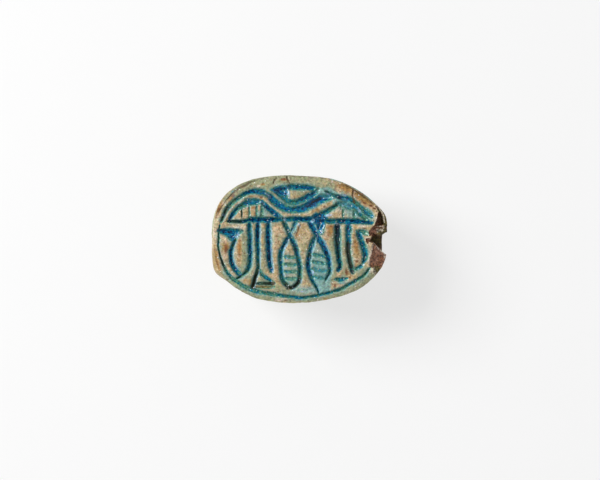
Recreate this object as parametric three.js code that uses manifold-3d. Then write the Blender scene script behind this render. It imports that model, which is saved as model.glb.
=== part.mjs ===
// Scarab amulet, one piece of glazed steatite, lying on the beetle's back with the engraved flat base up.
// Millimetres, +Z up. The origin is under the middle of the amulet, on the surface that it lies on.
// +X runs along the amulet to its broken head end, and +Y across the engraved face to its top.
import * as THREE from "three";
import { ConvexGeometry } from "three/addons/geometries/ConvexGeometry.js";
import { mergeVertices } from "three/addons/utils/BufferGeometryUtils.js";
import Module from "manifold-3d";

// Overall size
const length = 17.0;
const width = 12.4;
const height = 7.6;

// How square each corner of the outline is, counter-clockwise from the head's top corner. 2 is an ellipse.
const cornerSquareness = [2.08, 2.75, 2.55, 2.25];

// How far the hand-cut outline lies inside that in its flatter stretches, and how far the plinth stands out
// past it at the broken lip and at the broken facet, and the flank past it at the lower left
const handCut = 0.1;
const lipBulge = 0.33;
const facetBulge = 0.14;
const flankBulge = 0.24;

// The side, from the engraved face down: a plinth with a worn edge, a waist and the flank with the legs
const edgeWear = 0.22;
const plinthHeight = 1.25;
const waistHeight = 0.5;
const waistDepth = 0.34;
const flankHeight = 1.75;
const flankInset = 0.15;
const shoulderInset = 0.32;

// The head is set back under the plinth, and the tail end stands out a little past it
const headSetback = 0.22;
const headNarrowness = 8;
const tailBulge = 0.14;
const tailNarrowness = 4;

// The domed back and the small flat on it that the amulet lies on, as a share of the dome's own outline
const domeRoundness = 2.2;
const flatShare = 0.3;

// The string bore, which runs through the whole length, a little nearer the face at the head end
const boreDiameter = 1.5;
const boreHeadDepth = 2.2;
const boreTailDepth = 3.0;
const boreOffset = -0.29;

// Widths and depths of the carved lines
const fineWidth = 0.22;
const lineWidth = 0.32;
const broadWidth = 0.44;
const fineDepth = 0.14;
const lineDepth = 0.26;
const broadDepth = 0.36;
const sunkDepth = 0.24;
const backLineWidth = 0.34;
const backLineDepth = 0.2;
const legLineWidth = 0.36;
const legLineDepth = 0.26;
const grooveTaper = 0.35;

// Greatest depths of the broken places, below the engraved face
const lipDepth = 0.95;
const pitDepth = 1.05;
const stepDepth = 0.95;
const boreRoofDepth = 2.3;
const facetDepth = 1.65;
const chipDepth = 0.7;

// Fineness of the mesh
const anglesRound = 72;
const domeRings = 8;
const lineStep = 0.55;
const cutterLift = 0.15;

// Points below are shares of the half length and the half width, in per cent, from the middle of the face.
const halfLength = length / 2;
const halfWidth = width / 2;

// Where the outline and the side depart from their regular curve, with spreads and angles in degrees from
// the head end
const outlineDips = [
  { angle: 81, spread: 10, reach: handCut },
  { angle: -63, spread: 12, reach: handCut },
  { angle: -139, spread: 7, reach: handCut },
];
const plinthBulges = [
  { angle: 15, spread: 6, reach: lipBulge },
  { angle: -13.5, spread: 5, reach: facetBulge },
];
const flankBulges = [{ angle: -161, spread: 5, reach: flankBulge }];

// The border line, cut by hand inside the edge from the upper left corner round the bottom to the break
const borderLine = [
  [-91.5, 22], [-92.5, -1.5], [-92, -17], [-89, -34.5], [-83, -51], [-75, -63.5], [-65, -72.5],
  [-51, -80.5], [-32, -86], [-11.5, -90.5], [3.5, -91.5], [25, -86], [45.5, -79], [57, -69.5],
  [71.5, -58.5], [79.5, -47],
];

// The long ground line that divides the face, from the left arch to the right one
const groundLine = [[-82, 26], [-60, 29], [-32, 30], [0, 31], [34, 28], [63.5, 27.5], [83, 25]];

// Two arches with a fan of short strokes under each, left and right
const archLines = [
  [[-36.5, 68], [-43, 73.5], [-50, 75], [-58, 73], [-68, 66], [-78, 56.5], [-85.5, 44], [-90.5, 26]],
  [[-43, 58], [-50, 59.5], [-63.5, 56], [-72.5, 48.5], [-78.5, 39], [-82, 26.5]],
  [[29.5, 74], [41, 66.5], [54.5, 61.5], [63.5, 54.5], [74, 44], [82, 34.5]],
  [[44, 55], [53.5, 53], [66, 42], [74, 33], [78.5, 28]],
];
const fanLines = [
  [[-78.5, 31], [-68, 45.5], [-61.5, 51.5], [-50, 53]],
  [[-65, 48], [-65, 33]], [[-58, 50], [-58, 33]], [[-50, 52], [-50, 33]], [[-43, 50], [-43, 33]],
  [[49, 50], [49, 32]], [[60, 46], [60, 32]],
];

// The bowl at the top, the swags that hang round it and the lines that close the swags on each side
const bowlTop = [[-15, 80.5], [-10, 82], [3.5, 81], [17, 81]];
const swagLines = [
  [[-28.5, 74], [-21.5, 69], [-13.5, 58], [-8, 55.5], [-1, 58], [10, 65.5], [16, 70.5], [20.5, 79.5]],
  [[-36.5, 69], [-27.5, 57], [-18, 47.5], [-7, 44], [5.5, 47.5], [17, 56], [29.5, 62.5], [35, 64]],
];
const swagEnds = [
  [[-43, 58], [-34, 45.5], [-25, 36], [-19.5, 33]],
  [[46.5, 54.5], [35, 47], [26, 39], [16, 29]],
];
const sunkFields = [
  [[-34, 76.5], [-27, 83], [-17, 83], [-11.5, 76.5], [-15, 66], [-20, 68], [-27, 76]],
  [[-86, 12], [-68, 12], [-76.5, -5]],
  [[13, 36], [22, 40], [29, 36], [28, 24], [20, 22]],
];

// Leaf, stems and stroke under the left arch, and the stems and hook under the right one
const stemLines = [
  [[-93, 13.5], [-80, 13], [-66, 13.5]],
  [[-75, -3], [-78.5, -17], [-79, -33], [-75, -45.5], [-67.5, -58]],
  [[-58, 26.5], [-57.5, -1.5], [-58, -37.5], [-63, -53], [-71.5, -63.5]],
  [[-49, 26.5], [-49.5, -1.5], [-47.5, -26.5], [-48.5, -45.5], [-51.5, -59.5], [-55, -76.5]],
  [[66, 11], [72.5, -11], [75, -25], [72, -37.5], [65, -45.5], [57, -48.5]],
  [[66, 12.5], [77.5, 8]],
  [[41, -62.5], [51, -61.5], [55.5, -61]],
];
const broadStems = [
  [[-36.5, 28], [-37, -9.5], [-34.5, -40.5], [-33, -51.5]],
  [[42, 23.5], [42.5, -1.5], [44.5, -33], [46, -39], [43, -49]],
  [[54.5, 25], [54, -1.5], [55.5, -34.5], [60, -53]],
];
const footLines = [
  [[-46.5, -45.5], [-43, -56], [-37.5, -61], [-30.5, -67]],
  [[-49, -69.5], [-29.5, -69.5]],
  [[-50, -75], [-29.5, -75]],
];

// Two hooded drops between the stems, each with a short branch at its top and rungs across it
const dropLines = [
  [[-19.5, 31], [-13.5, 12.5], [-7, -8], [-1.5, -31], [0, -48.5], [-1, -65.5], [-8, -76], [-13.5, -76.5]],
  [[-12.5, 3], [-17, -6], [-22, -22], [-22.5, -45.5], [-19.5, -65.5], [-14, -75]],
  [[-11.5, 8], [-7, 19], [-3.5, 28]],
  [[10, 31], [18, 9.5], [27.5, -11], [33.5, -34.5], [34.5, -50], [29.5, -65.5]],
  [[19, 6], [12.5, -14], [9.5, -44], [13, -62.5], [19, -78], [21.5, -86]],
  [[19.5, 12], [24, 26.5]],
];
const rungs = [
  { left: -18, right: -3.5, top: -28, drop: 0 },
  { left: 13.5, right: 30, top: -27, drop: 3 },
];
const rungCount = 4;
const rungPitch = 10.9;

// The beetle on the back: the line behind the head shield, the wing case lines and the head
const backLines = [
  [[30, 84], [38, 48], [40, 0], [38, -48], [30, -84]],
  [[39, 0], [0, 0], [-50, 0], [-86, 0]],
  [[84, 30], [62, 34], [56, 0], [62, -34], [84, -30]],
  [[20, 58], [30, 70]],
  [[20, -58], [30, -70]],
];

// The legs on each flank: the line over them from front to rear, and the slanted lines that part them.
// Angles are in degrees from the head end, and share is that of the flank's height.
const legTop = { from: 24, to: 156, share: 0.86, points: 18 };
const legParts = [
  { low: 38, high: 52 },
  { low: 72, high: 60 },
  { low: 96, high: 108 },
  { low: 128, high: 118 },
];

// What is lost at the head end: the plan corners of each broken place, and with each corner the share of
// the place's depth that is gone there, so that the broken floors slant outwards
const brokenAway = [
  {
    depth: lipDepth,
    corners: [[86.5, 51.5, 0.35], [104.5, 61, 1], [107, 1.5, 1], [85, 4.5, 0.6], [87.5, 31, 0.3]],
  },
  {
    depth: pitDepth,
    corners: [[90, 44, 0.5], [95.5, 36, 0.95], [96, 20.5, 1], [87.5, 19, 0.7], [88.5, 33, 0.5]],
  },
  { depth: stepDepth, corners: [[84.5, 17, 0.7], [104.5, 17, 0.9], [104.5, 5, 1], [84, 4.5, 0.8]] },
  {
    depth: boreRoofDepth,
    corners: [[82, 1.5, 0.7], [86.5, 5.5, 0.7], [107, 5.5, 1], [107, -17, 1], [92, -15.5, 1], [84, -8, 0.75]],
  },
  {
    depth: facetDepth,
    corners: [
      [80.5, -9.5, 0.06], [78.5, -39, 0.06], [84, -47, 0.1], [107, -15.5, 1], [107, -36, 1], [98, -52, 0.7],
    ],
  },
  {
    depth: chipDepth,
    corners: [[80.5, -45.5, 0.4], [90, -44, 1], [95.5, -53, 1], [86.5, -61, 0.4], [81.5, -54.5, 0.4]],
  },
];

const up = new THREE.Vector3(0, 0, 1);
const wasm = await Module();
wasm.setup();

// Sum of soft bumps round the side at an angle in radians
function bumpsAt(bumps, angle) {
  return bumps.reduce((sum, bump) => {
    const apart = angle - THREE.MathUtils.degToRad(bump.angle);
    const turn = THREE.MathUtils.radToDeg(Math.atan2(Math.sin(apart), Math.cos(apart)));
    return sum + bump.reach * Math.exp(-((turn / bump.spread) ** 2) / 2);
  }, 0);
}

// Radius of the outline at an angle in radians, counter-clockwise from +X
function outlineRadius(angle) {
  const turn = THREE.MathUtils.euclideanModulo(angle, 2 * Math.PI);
  const squareness = cornerSquareness[Math.min(3, Math.floor(turn / (Math.PI / 2)))];
  const alongX = Math.abs(Math.cos(turn)) / halfLength;
  const alongY = Math.abs(Math.sin(turn)) / halfWidth;
  return (alongX ** squareness + alongY ** squareness) ** (-1 / squareness) - bumpsAt(outlineDips, angle);
}

// The side's section, as depths below the face with how far each lies inside the outline
const flankTop = plinthHeight + waistHeight;
const shoulderDepth = flankTop + flankHeight;
const sideSection = [
  [0, edgeWear],
  [edgeWear * 0.3, edgeWear * 0.42],
  [edgeWear, edgeWear * 0.08],
  [plinthHeight - edgeWear / 2, 0],
  [plinthHeight, waistDepth * 0.4],
  [plinthHeight + waistHeight / 2, waistDepth],
  [flankTop, flankInset + waistDepth * 0.5],
  [flankTop + flankHeight * 0.25, flankInset + waistDepth * 0.12],
  [flankTop + flankHeight * 0.5, flankInset],
  [flankTop + flankHeight * 0.75, flankInset + (shoulderInset - flankInset) * 0.3],
  [shoulderDepth, shoulderInset],
];

// The dome is a super-ellipse of revolution over its own outline, cut off by the small flat
const flatReach = (1 - flatShare ** domeRoundness) ** (1 / domeRoundness);
const domeDepth = (height - shoulderDepth) / flatReach;

function sideInset(depth) {
  const next = sideSection.findIndex(([level]) => level >= depth);
  if (next < 0) return shoulderInset;
  if (next === 0) return sideSection[0][1];
  const [upper, upperInset] = sideSection[next - 1];
  const [lower, lowerInset] = sideSection[next];
  return THREE.MathUtils.mapLinear(depth, upper, lower, upperInset, lowerInset);
}

// How far the side lies inside the outline because of the set-back head, the fuller tail and the bulges
function endInset(angle, depth) {
  const head = Math.max(0, Math.cos(angle)) ** headNarrowness;
  const tail = Math.max(0, -Math.cos(angle)) ** tailNarrowness;
  const below = THREE.MathUtils.smoothstep(depth, plinthHeight - edgeWear / 2, flankTop);
  const onPlinth = tailBulge * tail - bumpsAt(plinthBulges, angle);
  const onFlank = headSetback * head - flankInset * tail - bumpsAt(flankBulges, angle);
  return THREE.MathUtils.lerp(onPlinth, onFlank, below);
}

function shoulderRadius(angle) {
  return outlineRadius(angle) - shoulderInset - endInset(angle, shoulderDepth);
}

// A point of the uncut body at an angle and a depth below the face
function bodyPoint(angle, depth) {
  let radius = outlineRadius(angle) - sideInset(depth) - endInset(angle, depth);
  if (depth > shoulderDepth) {
    const reach = Math.min(1, (depth - shoulderDepth) / domeDepth);
    radius = shoulderRadius(angle) * (1 - reach ** domeRoundness) ** (1 / domeRoundness);
  }
  return new THREE.Vector3(radius * Math.cos(angle), radius * Math.sin(angle), height - depth);
}

// A point on the dome straight over or under a place in plan
function backPoint(x, y) {
  const share = Math.hypot(x, y) / shoulderRadius(Math.atan2(y, x));
  const reach = Math.min((1 - Math.min(share, 1) ** domeRoundness) ** (1 / domeRoundness), flatReach);
  return new THREE.Vector3(x, y, height - shoulderDepth - reach * domeDepth);
}

// Rings of points joined into one closed body, with a point in the middle of the face and of the flat
function bodyGeometry() {
  const depths = sideSection.map(([depth]) => depth);
  for (let ring = 1; ring <= domeRings; ring++) {
    const lean = (ring / domeRings) * Math.acos(flatShare ** (domeRoundness / 2));
    depths.push(shoulderDepth + domeDepth * Math.sin(lean) ** (2 / domeRoundness));
  }
  const vertices = depths.flatMap((depth) =>
    Array.from({ length: anglesRound }, (_, i) => bodyPoint((i / anglesRound) * 2 * Math.PI, depth)),
  );
  const faceMiddle = vertices.push(new THREE.Vector3(0, 0, height)) - 1;
  const flatMiddle = vertices.push(new THREE.Vector3(0, 0, 0)) - 1;
  const lastRing = (depths.length - 1) * anglesRound;
  const index = [];
  for (let i = 0; i < anglesRound; i++) {
    const next = (i + 1) % anglesRound;
    index.push(faceMiddle, i, next, flatMiddle, lastRing + next, lastRing + i);
    for (let ring = 0; ring < lastRing; ring += anglesRound) {
      const below = ring + anglesRound;
      index.push(ring + i, below + i, below + next, ring + i, below + next, ring + next);
    }
  }
  return new THREE.BufferGeometry().setFromPoints(vertices).setIndex(index);
}

function solidOf(geometry) {
  const bare = geometry.clone();
  bare.deleteAttribute("normal");
  bare.deleteAttribute("uv");
  const merged = mergeVertices(bare, 1e-4);
  const vertProperties = merged.attributes.position.array;
  const triVerts = new Uint32Array(merged.index.array);
  return new wasm.Manifold(new wasm.Mesh({ numProp: 3, vertProperties, triVerts }));
}

function geometryOf(solid) {
  const mesh = solid.getMesh();
  const geometry = new THREE.BufferGeometry();
  geometry.setAttribute("position", new THREE.BufferAttribute(mesh.vertProperties, 3));
  geometry.setIndex(new THREE.BufferAttribute(mesh.triVerts, 1));
  geometry.computeVertexNormals();
  return geometry;
}

// Places evenly spread along a smooth line through points given as shares of the half length and width
function placesAlong(points) {
  const knots = points.map(([u, v]) => new THREE.Vector3((u / 100) * halfLength, (v / 100) * halfWidth, 0));
  const curve = new THREE.CatmullRomCurve3(knots, false, "centripetal");
  return curve.getSpacedPoints(Math.max(2, Math.round(curve.getLength() / lineStep)));
}

function lineOnFace(points) {
  return placesAlong(points).map(({ x, y }) => ({ point: new THREE.Vector3(x, y, height), normal: up }));
}

function lineOnBack(points) {
  const tiny = 0.02;
  return placesAlong(points).map(({ x, y }) => {
    const point = backPoint(x, y);
    const slopeX = (backPoint(x + tiny, y).z - backPoint(x - tiny, y).z) / (2 * tiny);
    const slopeY = (backPoint(x, y + tiny).z - backPoint(x, y - tiny).z) / (2 * tiny);
    return { point, normal: new THREE.Vector3(slopeX, slopeY, -1).normalize() };
  });
}

function lineOnFlank(stops) {
  return stops.map(({ angle, depth }) => {
    const point = bodyPoint(angle, depth);
    return { point, normal: new THREE.Vector3(point.x, point.y, 0).normalize() };
  });
}

// A V-shaped cutter along a line on the surface, narrower and shallower towards both ends
function vGroove(line, topWidth, cutDepth) {
  const vertices = [];
  const index = [];
  const last = line.length - 1;
  line.forEach(({ point, normal }, i) => {
    const before = line[Math.max(i - 1, 0)].point;
    const after = line[Math.min(i + 1, last)].point;
    const side = after.clone().sub(before).cross(normal).normalize();
    const share = i === 0 || i === last ? grooveTaper : 1;
    const halfAtLift = (topWidth / 2) * (share + cutterLift / cutDepth);
    const lifted = point.clone().addScaledVector(normal, cutterLift);
    vertices.push(lifted.clone().addScaledVector(side, halfAtLift));
    vertices.push(lifted.clone().addScaledVector(side, -halfAtLift));
    vertices.push(point.clone().addScaledVector(normal, -share * cutDepth));
  });
  index.push(1, 2, 0, 3 * last, 3 * last + 2, 3 * last + 1);
  for (let i = 0; i < last; i++) {
    const [right, left, bottom] = [3 * i, 3 * i + 1, 3 * i + 2];
    index.push(right, right + 3, left + 3, right, left + 3, left);
    index.push(right, bottom, bottom + 3, right, bottom + 3, right + 3);
    index.push(left, left + 3, bottom + 3, left, bottom + 3, bottom);
  }
  return solidOf(new THREE.BufferGeometry().setFromPoints(vertices).setIndex(index));
}

function faceGrooves() {
  const cut = (lines, lineWide, lineDeep) =>
    lines.map((points) => vGroove(lineOnFace(points), lineWide, lineDeep));
  const rungLines = rungs.flatMap(({ left, right, top, drop }) =>
    Array.from({ length: rungCount }, (_, i) => {
      const level = top - i * rungPitch;
      return [[left, level], [right, level - drop]];
    }),
  );
  return [
    ...cut([borderLine, ...archLines, bowlTop, swagLines[0], ...swagEnds], lineWidth, lineDepth),
    ...cut([...stemLines, ...footLines, ...dropLines], lineWidth, lineDepth),
    ...cut([groundLine, swagLines[1], ...broadStems], broadWidth, broadDepth),
    ...cut([...fanLines, ...rungLines], fineWidth, fineDepth),
  ];
}

function planShape(plan) {
  return new THREE.Shape(
    plan.map(([u, v]) => new THREE.Vector2((u / 100) * halfLength, (v / 100) * halfWidth)),
  );
}

// A straight-sided cutter from above the face down to a depth, with a plan outline
function straightCut(plan, depth) {
  const cutter = new THREE.ExtrudeGeometry(planShape(plan), {
    depth: depth + cutterLift,
    bevelEnabled: false,
  });
  return solidOf(cutter.translate(0, 0, height - depth));
}

// A broken place, as the space between its slanted floor and the face
function breakCut({ depth, corners }) {
  const level = (share) => height - depth * share;
  const place = ([u, v], z) => new THREE.Vector3((u / 100) * halfLength, (v / 100) * halfWidth, z);
  const floor = corners.map((corner) => place(corner, level(corner[2])));
  const opening = corners.map((corner) => place(corner, height + cutterLift));
  return solidOf(new ConvexGeometry([...floor, ...opening]));
}

function boreCut() {
  const bore = new THREE.CylinderGeometry(boreDiameter / 2, boreDiameter / 2, length + boreDiameter, 24);
  bore.rotateZ(Math.PI / 2).rotateY(-Math.atan((boreTailDepth - boreHeadDepth) / length));
  return solidOf(bore.translate(0, boreOffset, height - (boreHeadDepth + boreTailDepth) / 2));
}

function beetleGrooves() {
  const radians = THREE.MathUtils.degToRad;
  const flankDepth = (share) => flankTop + flankHeight * share;
  const legLines = [1, -1].flatMap((side) => {
    const top = Array.from({ length: legTop.points }, (_, i) => ({
      angle: side * radians(THREE.MathUtils.lerp(legTop.from, legTop.to, i / (legTop.points - 1))),
      depth: flankDepth(legTop.share),
    }));
    const parts = legParts.map(({ low, high }) =>
      [0, 0.5, 1].map((share) => ({
        angle: side * radians(THREE.MathUtils.lerp(low, high, share)),
        depth: flankDepth(share * legTop.share),
      })),
    );
    return [top, ...parts];
  });
  return [
    ...backLines.map((points) => vGroove(lineOnBack(points), backLineWidth, backLineDepth)),
    ...legLines.map((stops) => vGroove(lineOnFlank(stops), legLineWidth, legLineDepth)),
  ];
}

function scarab() {
  const cutters = [
    ...faceGrooves(),
    ...sunkFields.map((plan) => straightCut(plan, sunkDepth)),
    ...beetleGrooves(),
    boreCut(),
    ...brokenAway.map(breakCut),
  ];
  const carved = cutters.reduce((body, cutter) => body.subtract(cutter), solidOf(bodyGeometry()));
  const glazedSteatite = new THREE.MeshStandardMaterial({ color: 0x8f9a82, roughness: 0.45, metalness: 0 });
  const mesh = new THREE.Mesh(geometryOf(carved), glazedSteatite);
  mesh.name = "scarab";
  return mesh;
}

const amulet = new THREE.Group();
amulet.add(scarab());

export default amulet;
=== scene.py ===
"""A scarab amulet of glazed steatite that lies on the beetle's back, with its engraved flat base up.

Places on the engraved face are shares of the half length and the half width, in per cent, as on the solid.
Sizes named here are in millimetres, and the meshes are in metres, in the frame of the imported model.
"""

import math
from collections import namedtuple

import bpy
import numpy as np
from bpy.props import FloatProperty, FloatVectorProperty, PointerProperty
from mathutils import Matrix, Vector


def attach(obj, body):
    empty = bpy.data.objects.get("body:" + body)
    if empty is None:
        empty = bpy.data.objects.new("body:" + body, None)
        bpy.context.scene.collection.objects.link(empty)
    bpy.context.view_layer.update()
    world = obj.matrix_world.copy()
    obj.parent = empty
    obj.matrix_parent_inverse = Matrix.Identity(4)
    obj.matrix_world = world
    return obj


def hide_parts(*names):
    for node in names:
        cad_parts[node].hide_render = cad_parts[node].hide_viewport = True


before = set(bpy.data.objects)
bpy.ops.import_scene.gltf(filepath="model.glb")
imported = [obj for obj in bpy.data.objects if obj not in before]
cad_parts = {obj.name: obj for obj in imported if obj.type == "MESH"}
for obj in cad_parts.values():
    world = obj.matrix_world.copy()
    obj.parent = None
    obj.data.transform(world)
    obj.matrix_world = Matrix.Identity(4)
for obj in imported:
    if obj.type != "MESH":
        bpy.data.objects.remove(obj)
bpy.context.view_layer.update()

bl_info = {
    "name": "Scarab Amulet",
    "version": (1, 0, 0),
    "blender": (4, 5, 0),
    "location": "3D View > Sidebar > Scarab",
    "description": "Carves, pierces, breaks and glazes a steatite scarab amulet on a pale table",
    "category": "Object",
}

MM = 0.001
NODE = "scarab"

# A cut line: places as shares, widths along it and one depth in mm, then from 0 to 1 the blue glaze and
# the dirt and painted shade along it, and how strong the painted highlight on its wall that faces the light
# is
Line = namedtuple("Line", "points width depth blue dirt sheen", defaults=(0.26, (0.5,), (0.0,), 0.3))
# A soft patch of colour: its place as shares, its half sizes in mm, a turn in degrees and a strength
Patch = namedtuple("Patch", "u v wide high turn amount", defaults=(0.0, 1.0))
# A broken floor: its plan corners as shares, its depths near to and far from the middle, and its roughness
Floor = namedtuple("Floor", "corners near far rough")

# The border line, cut by hand inside the edge from the upper left corner round the bottom to the break
BORDER = Line(
    ((-91.5, 22), (-92.5, -1.5), (-92, -17), (-89, -34.5), (-83, -51), (-75, -63.5), (-65, -72.5),
     (-51, -80.5), (-32, -86), (-15, -89.8), (0, -91), (12, -90), (27, -86.5), (45.5, -79), (57, -69.5),
     (71.5, -58.5), (79.5, -47)),
    (0.14, 0.12, 0.16, 0.22, 0.28, 0.32, 0.28, 0.24, 0.22, 0.24, 0.24, 0.22, 0.24),
    0.2,
    (0.1, 0.1, 0.1, 0.1, 0.3, 0.25, 0.35, 0.2, 0.2, 0.4, 0.6, 0.35, 0.3, 0.35, 0.3, 0.3, 0.2, 0.15),
    (0.1, 0.1, 0.4, 0.9, 0.3, 0.1, 0.3, 0.1, 0.45, 0.2, 0.1, 0.35, 0.3, 0.1, 0.3, 0.2, 0.3, 0.4),
)

# The long ground line that divides the face
GROUND = Line(
    ((-82, 27.5), (-62, 28), (-57, 29.5), (-32, 30), (0, 31), (22, 29), (34, 27.5), (63.5, 27.5),
     (83, 25)),
    (0.22, 0.24, 0.4, 0.44, 0.4, 0.32, 0.36, 0.38, 0.36, 0.34, 0.42, 0.44, 0.34, 0.24),
    0.34,
    (0.2, 0.3, 0.8, 0.95, 0.8, 0.35, 0.8, 0.85, 0.5, 0.5, 0.6, 0.9, 0.7, 0.5),
    (0.5, 0.6, 0.1, 0, 0, 0.4, 0, 0, 0.3, 0.3, 0.4, 0, 0.3, 0.3),
)

# Two arches with a fan of short strokes under each
ARCHES = (
    Line(((-36.5, 67.5), (-42, 72.5), (-50, 74.3), (-58, 72.3), (-68, 65), (-77.5, 55.5), (-84.7, 43),
          (-90, 26)), (0.44, 0.42, 0.38, 0.32, 0.3, 0.32, 0.28, 0.2), 0.23,
         (0.4, 0.6, 0.9, 0.5, 0.1, 0.1, 0.2, 0.1), (0.6, 0.3, 0, 0, 0, 0.5, 0.7, 0.3)),
    Line(((-43, 57), (-50, 58), (-57, 57.5), (-63.5, 54), (-71.5, 46.5), (-77, 37.5), (-80, 29)),
         (0.34, 0.52, 0.56, 0.34, 0.3, 0.32, 0.26), 0.26, (0.4, 0.55, 0.65, 0.4, 0.35, 0.85, 0.6),
         (0.3, 0, 0, 0, 0, 0.2, 0.5), 0.7),
    Line(((29.5, 74), (41, 66.5), (52, 63), (60, 59.5), (66, 52.5), (74, 44), (82, 34.5)),
         (0.18, 0.22, 0.36, 0.5, 0.36, 0.36, 0.36, 0.3), 0.28, (0.1, 0.2, 0.9, 0.75, 0.2, 0.3, 0.5, 0.6),
         (0.4, 0.4, 0.6, 0.1, 0.6, 0, 0, 0)),
    Line(((44, 55), (53.5, 53), (61, 50), (66, 42), (74, 33), (78.5, 28)),
         (0.34, 0.56, 0.66, 0.4, 0.3, 0.3), 0.24, (0.35, 0.4, 0.5, 0.3, 0.1, 0.3),
         (0.1, 0, 0, 0.2, 0, 0), 0.8),
)
FANS = (
    Line(((-76, 36), (-68, 46.5), (-61.5, 51.5)), (0.14, 0.16, 0.16), 0.07, (0.2, 0.1, 0.1)),
    Line(((-66, 45), (-65.9, 34)), (0.12,), 0.12, (0,), (0.6,)),
    Line(((-57.6, 51), (-57.4, 34)), (0.16,), 0.09, (0,), (0.1,)),
    Line(((-49, 52), (-48.9, 31)), (0.18,), 0.1, (0.05,), (0.2, 0)),
    Line(((-43, 52), (-43.2, 31)), (0.22,), 0.12, (0.1,), (0.1,)),
    Line(((49.5, 46), (49, 33)), (0.18,), 0.1, (0,), (0.3,)),
    Line(((62, 48), (62.5, 32)), (0.3,), 0.14, (0.15, 0.25)),
)

# The bowl at the top, the swags round it and the lines that close the swags on each side
SWAGS = (
    Line(((-15, 79.5), (-10, 81), (3.5, 80.3), (14, 79), (19, 76.5)), (0.42, 0.46, 0.42, 0.4, 0.28),
         0.26, (0.55, 0.65, 0.75, 0.7, 0.35), (0, 0, 0.1, 0.1, 0.4)),
    Line(((-28.5, 74), (-21.5, 69), (-13.5, 59), (-8, 56.8), (-1, 58.5), (10, 65.5), (16, 70.5),
          (20.5, 76.5)), (0.34, 0.4, 0.44, 0.4, 0.42, 0.5, 0.5, 0.38), 0.28,
         (0.85, 0.5, 0.45, 0.35, 0.4, 0.7, 0.75, 0.3), (0, 0, 0, 0, 0.1, 0.2, 0.3, 0.5)),
    Line(((-36.5, 69), (-27.5, 57.5), (-18, 48.5), (-7, 45.4), (5.5, 49), (17, 57.5), (29, 64),
          (38, 66)), (0.46, 0.54, 0.56, 0.52, 0.6, 0.72, 0.64, 0.4), 0.3,
         (0.75, 0.72, 0.66, 0.55, 0.75, 1.1, 0.85, 0.35), (0.5, 0, 0, 0, 0, 0, 0, 0)),
    Line(((-43, 58), (-34, 45.5), (-25, 36), (-19.5, 31)), (0.3, 0.38, 0.4, 0.32), 0.27,
         (0.5, 0.85, 0.8, 0.4), (0.1, 0, 0.1, 0.6)),
    Line(((46.5, 56), (35, 47), (26, 39), (16, 29)), (0.26, 0.34, 0.42, 0.5), 0.27,
         (0.35, 0.35, 0.6, 0.7), (0.3, 0.4, 0.1, 0.2)),
)

# Leaf, stems, triangle and strokes under the left arch, and stems and hook under the right one
STEMS = (
    Line(((-93, 13), (-84, 11), (-76, 11), (-66, 12.7)), (0.28, 0.5, 0.52, 0.26), 0.3,
         (0.6, 0.95, 0.8, 0.3), (0.5, 0.35, 0.25, 0.5), 0.0),
    Line(((-72.5, 0), (-75.8, -9), (-77.8, -20), (-77.8, -33), (-74, -45.5), (-66.5, -58)),
         (0.26, 0.32, 0.36, 0.38, 0.38, 0.32), 0.3, (0.3, 0.5, 0.75, 0.85, 0.6, 0.4),
         (0, 0, 0.3, 0, 0, 0), 0.9),
    Line(((-57.5, 26.5), (-57, 10), (-56.5, -20), (-56.7, -37.5), (-61, -51), (-68, -59.5), (-73, -63)),
         (0.32, 0.36, 0.38, 0.38, 0.34, 0.3, 0.2), 0.3, (0.4, 0.45, 0.7, 0.7, 0.4, 0.15, 0.1),
         (0, 0, 0.1, 0.1, 0, 0, 0), 0.6),
    Line(((-48, 26.5), (-48, -1.5), (-47.3, -26.5), (-47.3, -45.5), (-50.5, -59.5), (-54.5, -76.5)),
         (0.32, 0.36, 0.34, 0.28, 0.32, 0.34), 0.3, (0.8, 0.9, 0.5, 0.2, 0.1, 0.05),
         (0, 0.1, 0.1, 0.15, 0.7, 1.0), 1.0),
    Line(((-35.8, 28), (-35.6, -9.5), (-34.3, -35), (-32.5, -50)), (0.4, 0.42, 0.44, 0.36), 0.34,
         (0.5, 0.8, 0.9, 0.7), (0, 0.3, 0.1, 0.3), 1.0),
    Line(((43, 23.5), (43, -1.5), (44.5, -33), (46.5, -41), (43.5, -49)), (0.5, 0.5, 0.4, 0.36, 0.34),
         0.36, (0.7, 0.4, 0.5, 0.6), (0.7, 0.6, 0.5, 0.2)),
    Line(((56, 25), (55.3, 2), (55.6, -20), (57.5, -38), (60.5, -53)), (0.48, 0.42, 0.34, 0.32, 0.32),
         0.25, (0.72, 0.72, 0.3, 0.1, 0.2), (0, 0, 1.0, 0.95, 0.6)),
    Line(((66, 11), (70, -3), (74, -18), (74.5, -28), (72, -37.5)), (0.38, 0.42, 0.44, 0.42, 0.3), 0.3,
         (0.7, 0.55, 0.6, 0.55, 0.3), (0.1, 0, 0, 0, 0.3)),
    Line(((72, -40), (66, -46), (58, -48)), (0.26, 0.3, 0.2), 0.18, (0.3, 0.3, 0.2)),
    Line(((65, 12), (70, 11), (77, 8)), (0.3, 0.34, 0.3), 0.2, (0.35, 0.2, 0.1), (0.1, 0.1, 0.3)),
    Line(((40, -63.5), (48, -63.5), (54, -61.5)), (0.22, 0.3, 0.2), 0.2, (0.4, 0.6, 0.3)),
    Line(((-46.5, -45.5), (-43, -56), (-37.5, -61), (-30.5, -67)), (0.16, 0.26, 0.3, 0.22), 0.2,
         (0.2, 0.4, 0.6, 0.4), (0.1, 0, 0, 0.2)),
    Line(((-49, -69), (-40, -69.5), (-29.5, -69.5)), (0.22, 0.24, 0.26), 0.22, (0.05,), (0.5, 0.7, 1.0)),
    Line(((-50, -75), (-40, -75.5), (-29.5, -75)), (0.18, 0.2, 0.22), 0.12, (0,), (0, 0.2, 0.1)),
)

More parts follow.
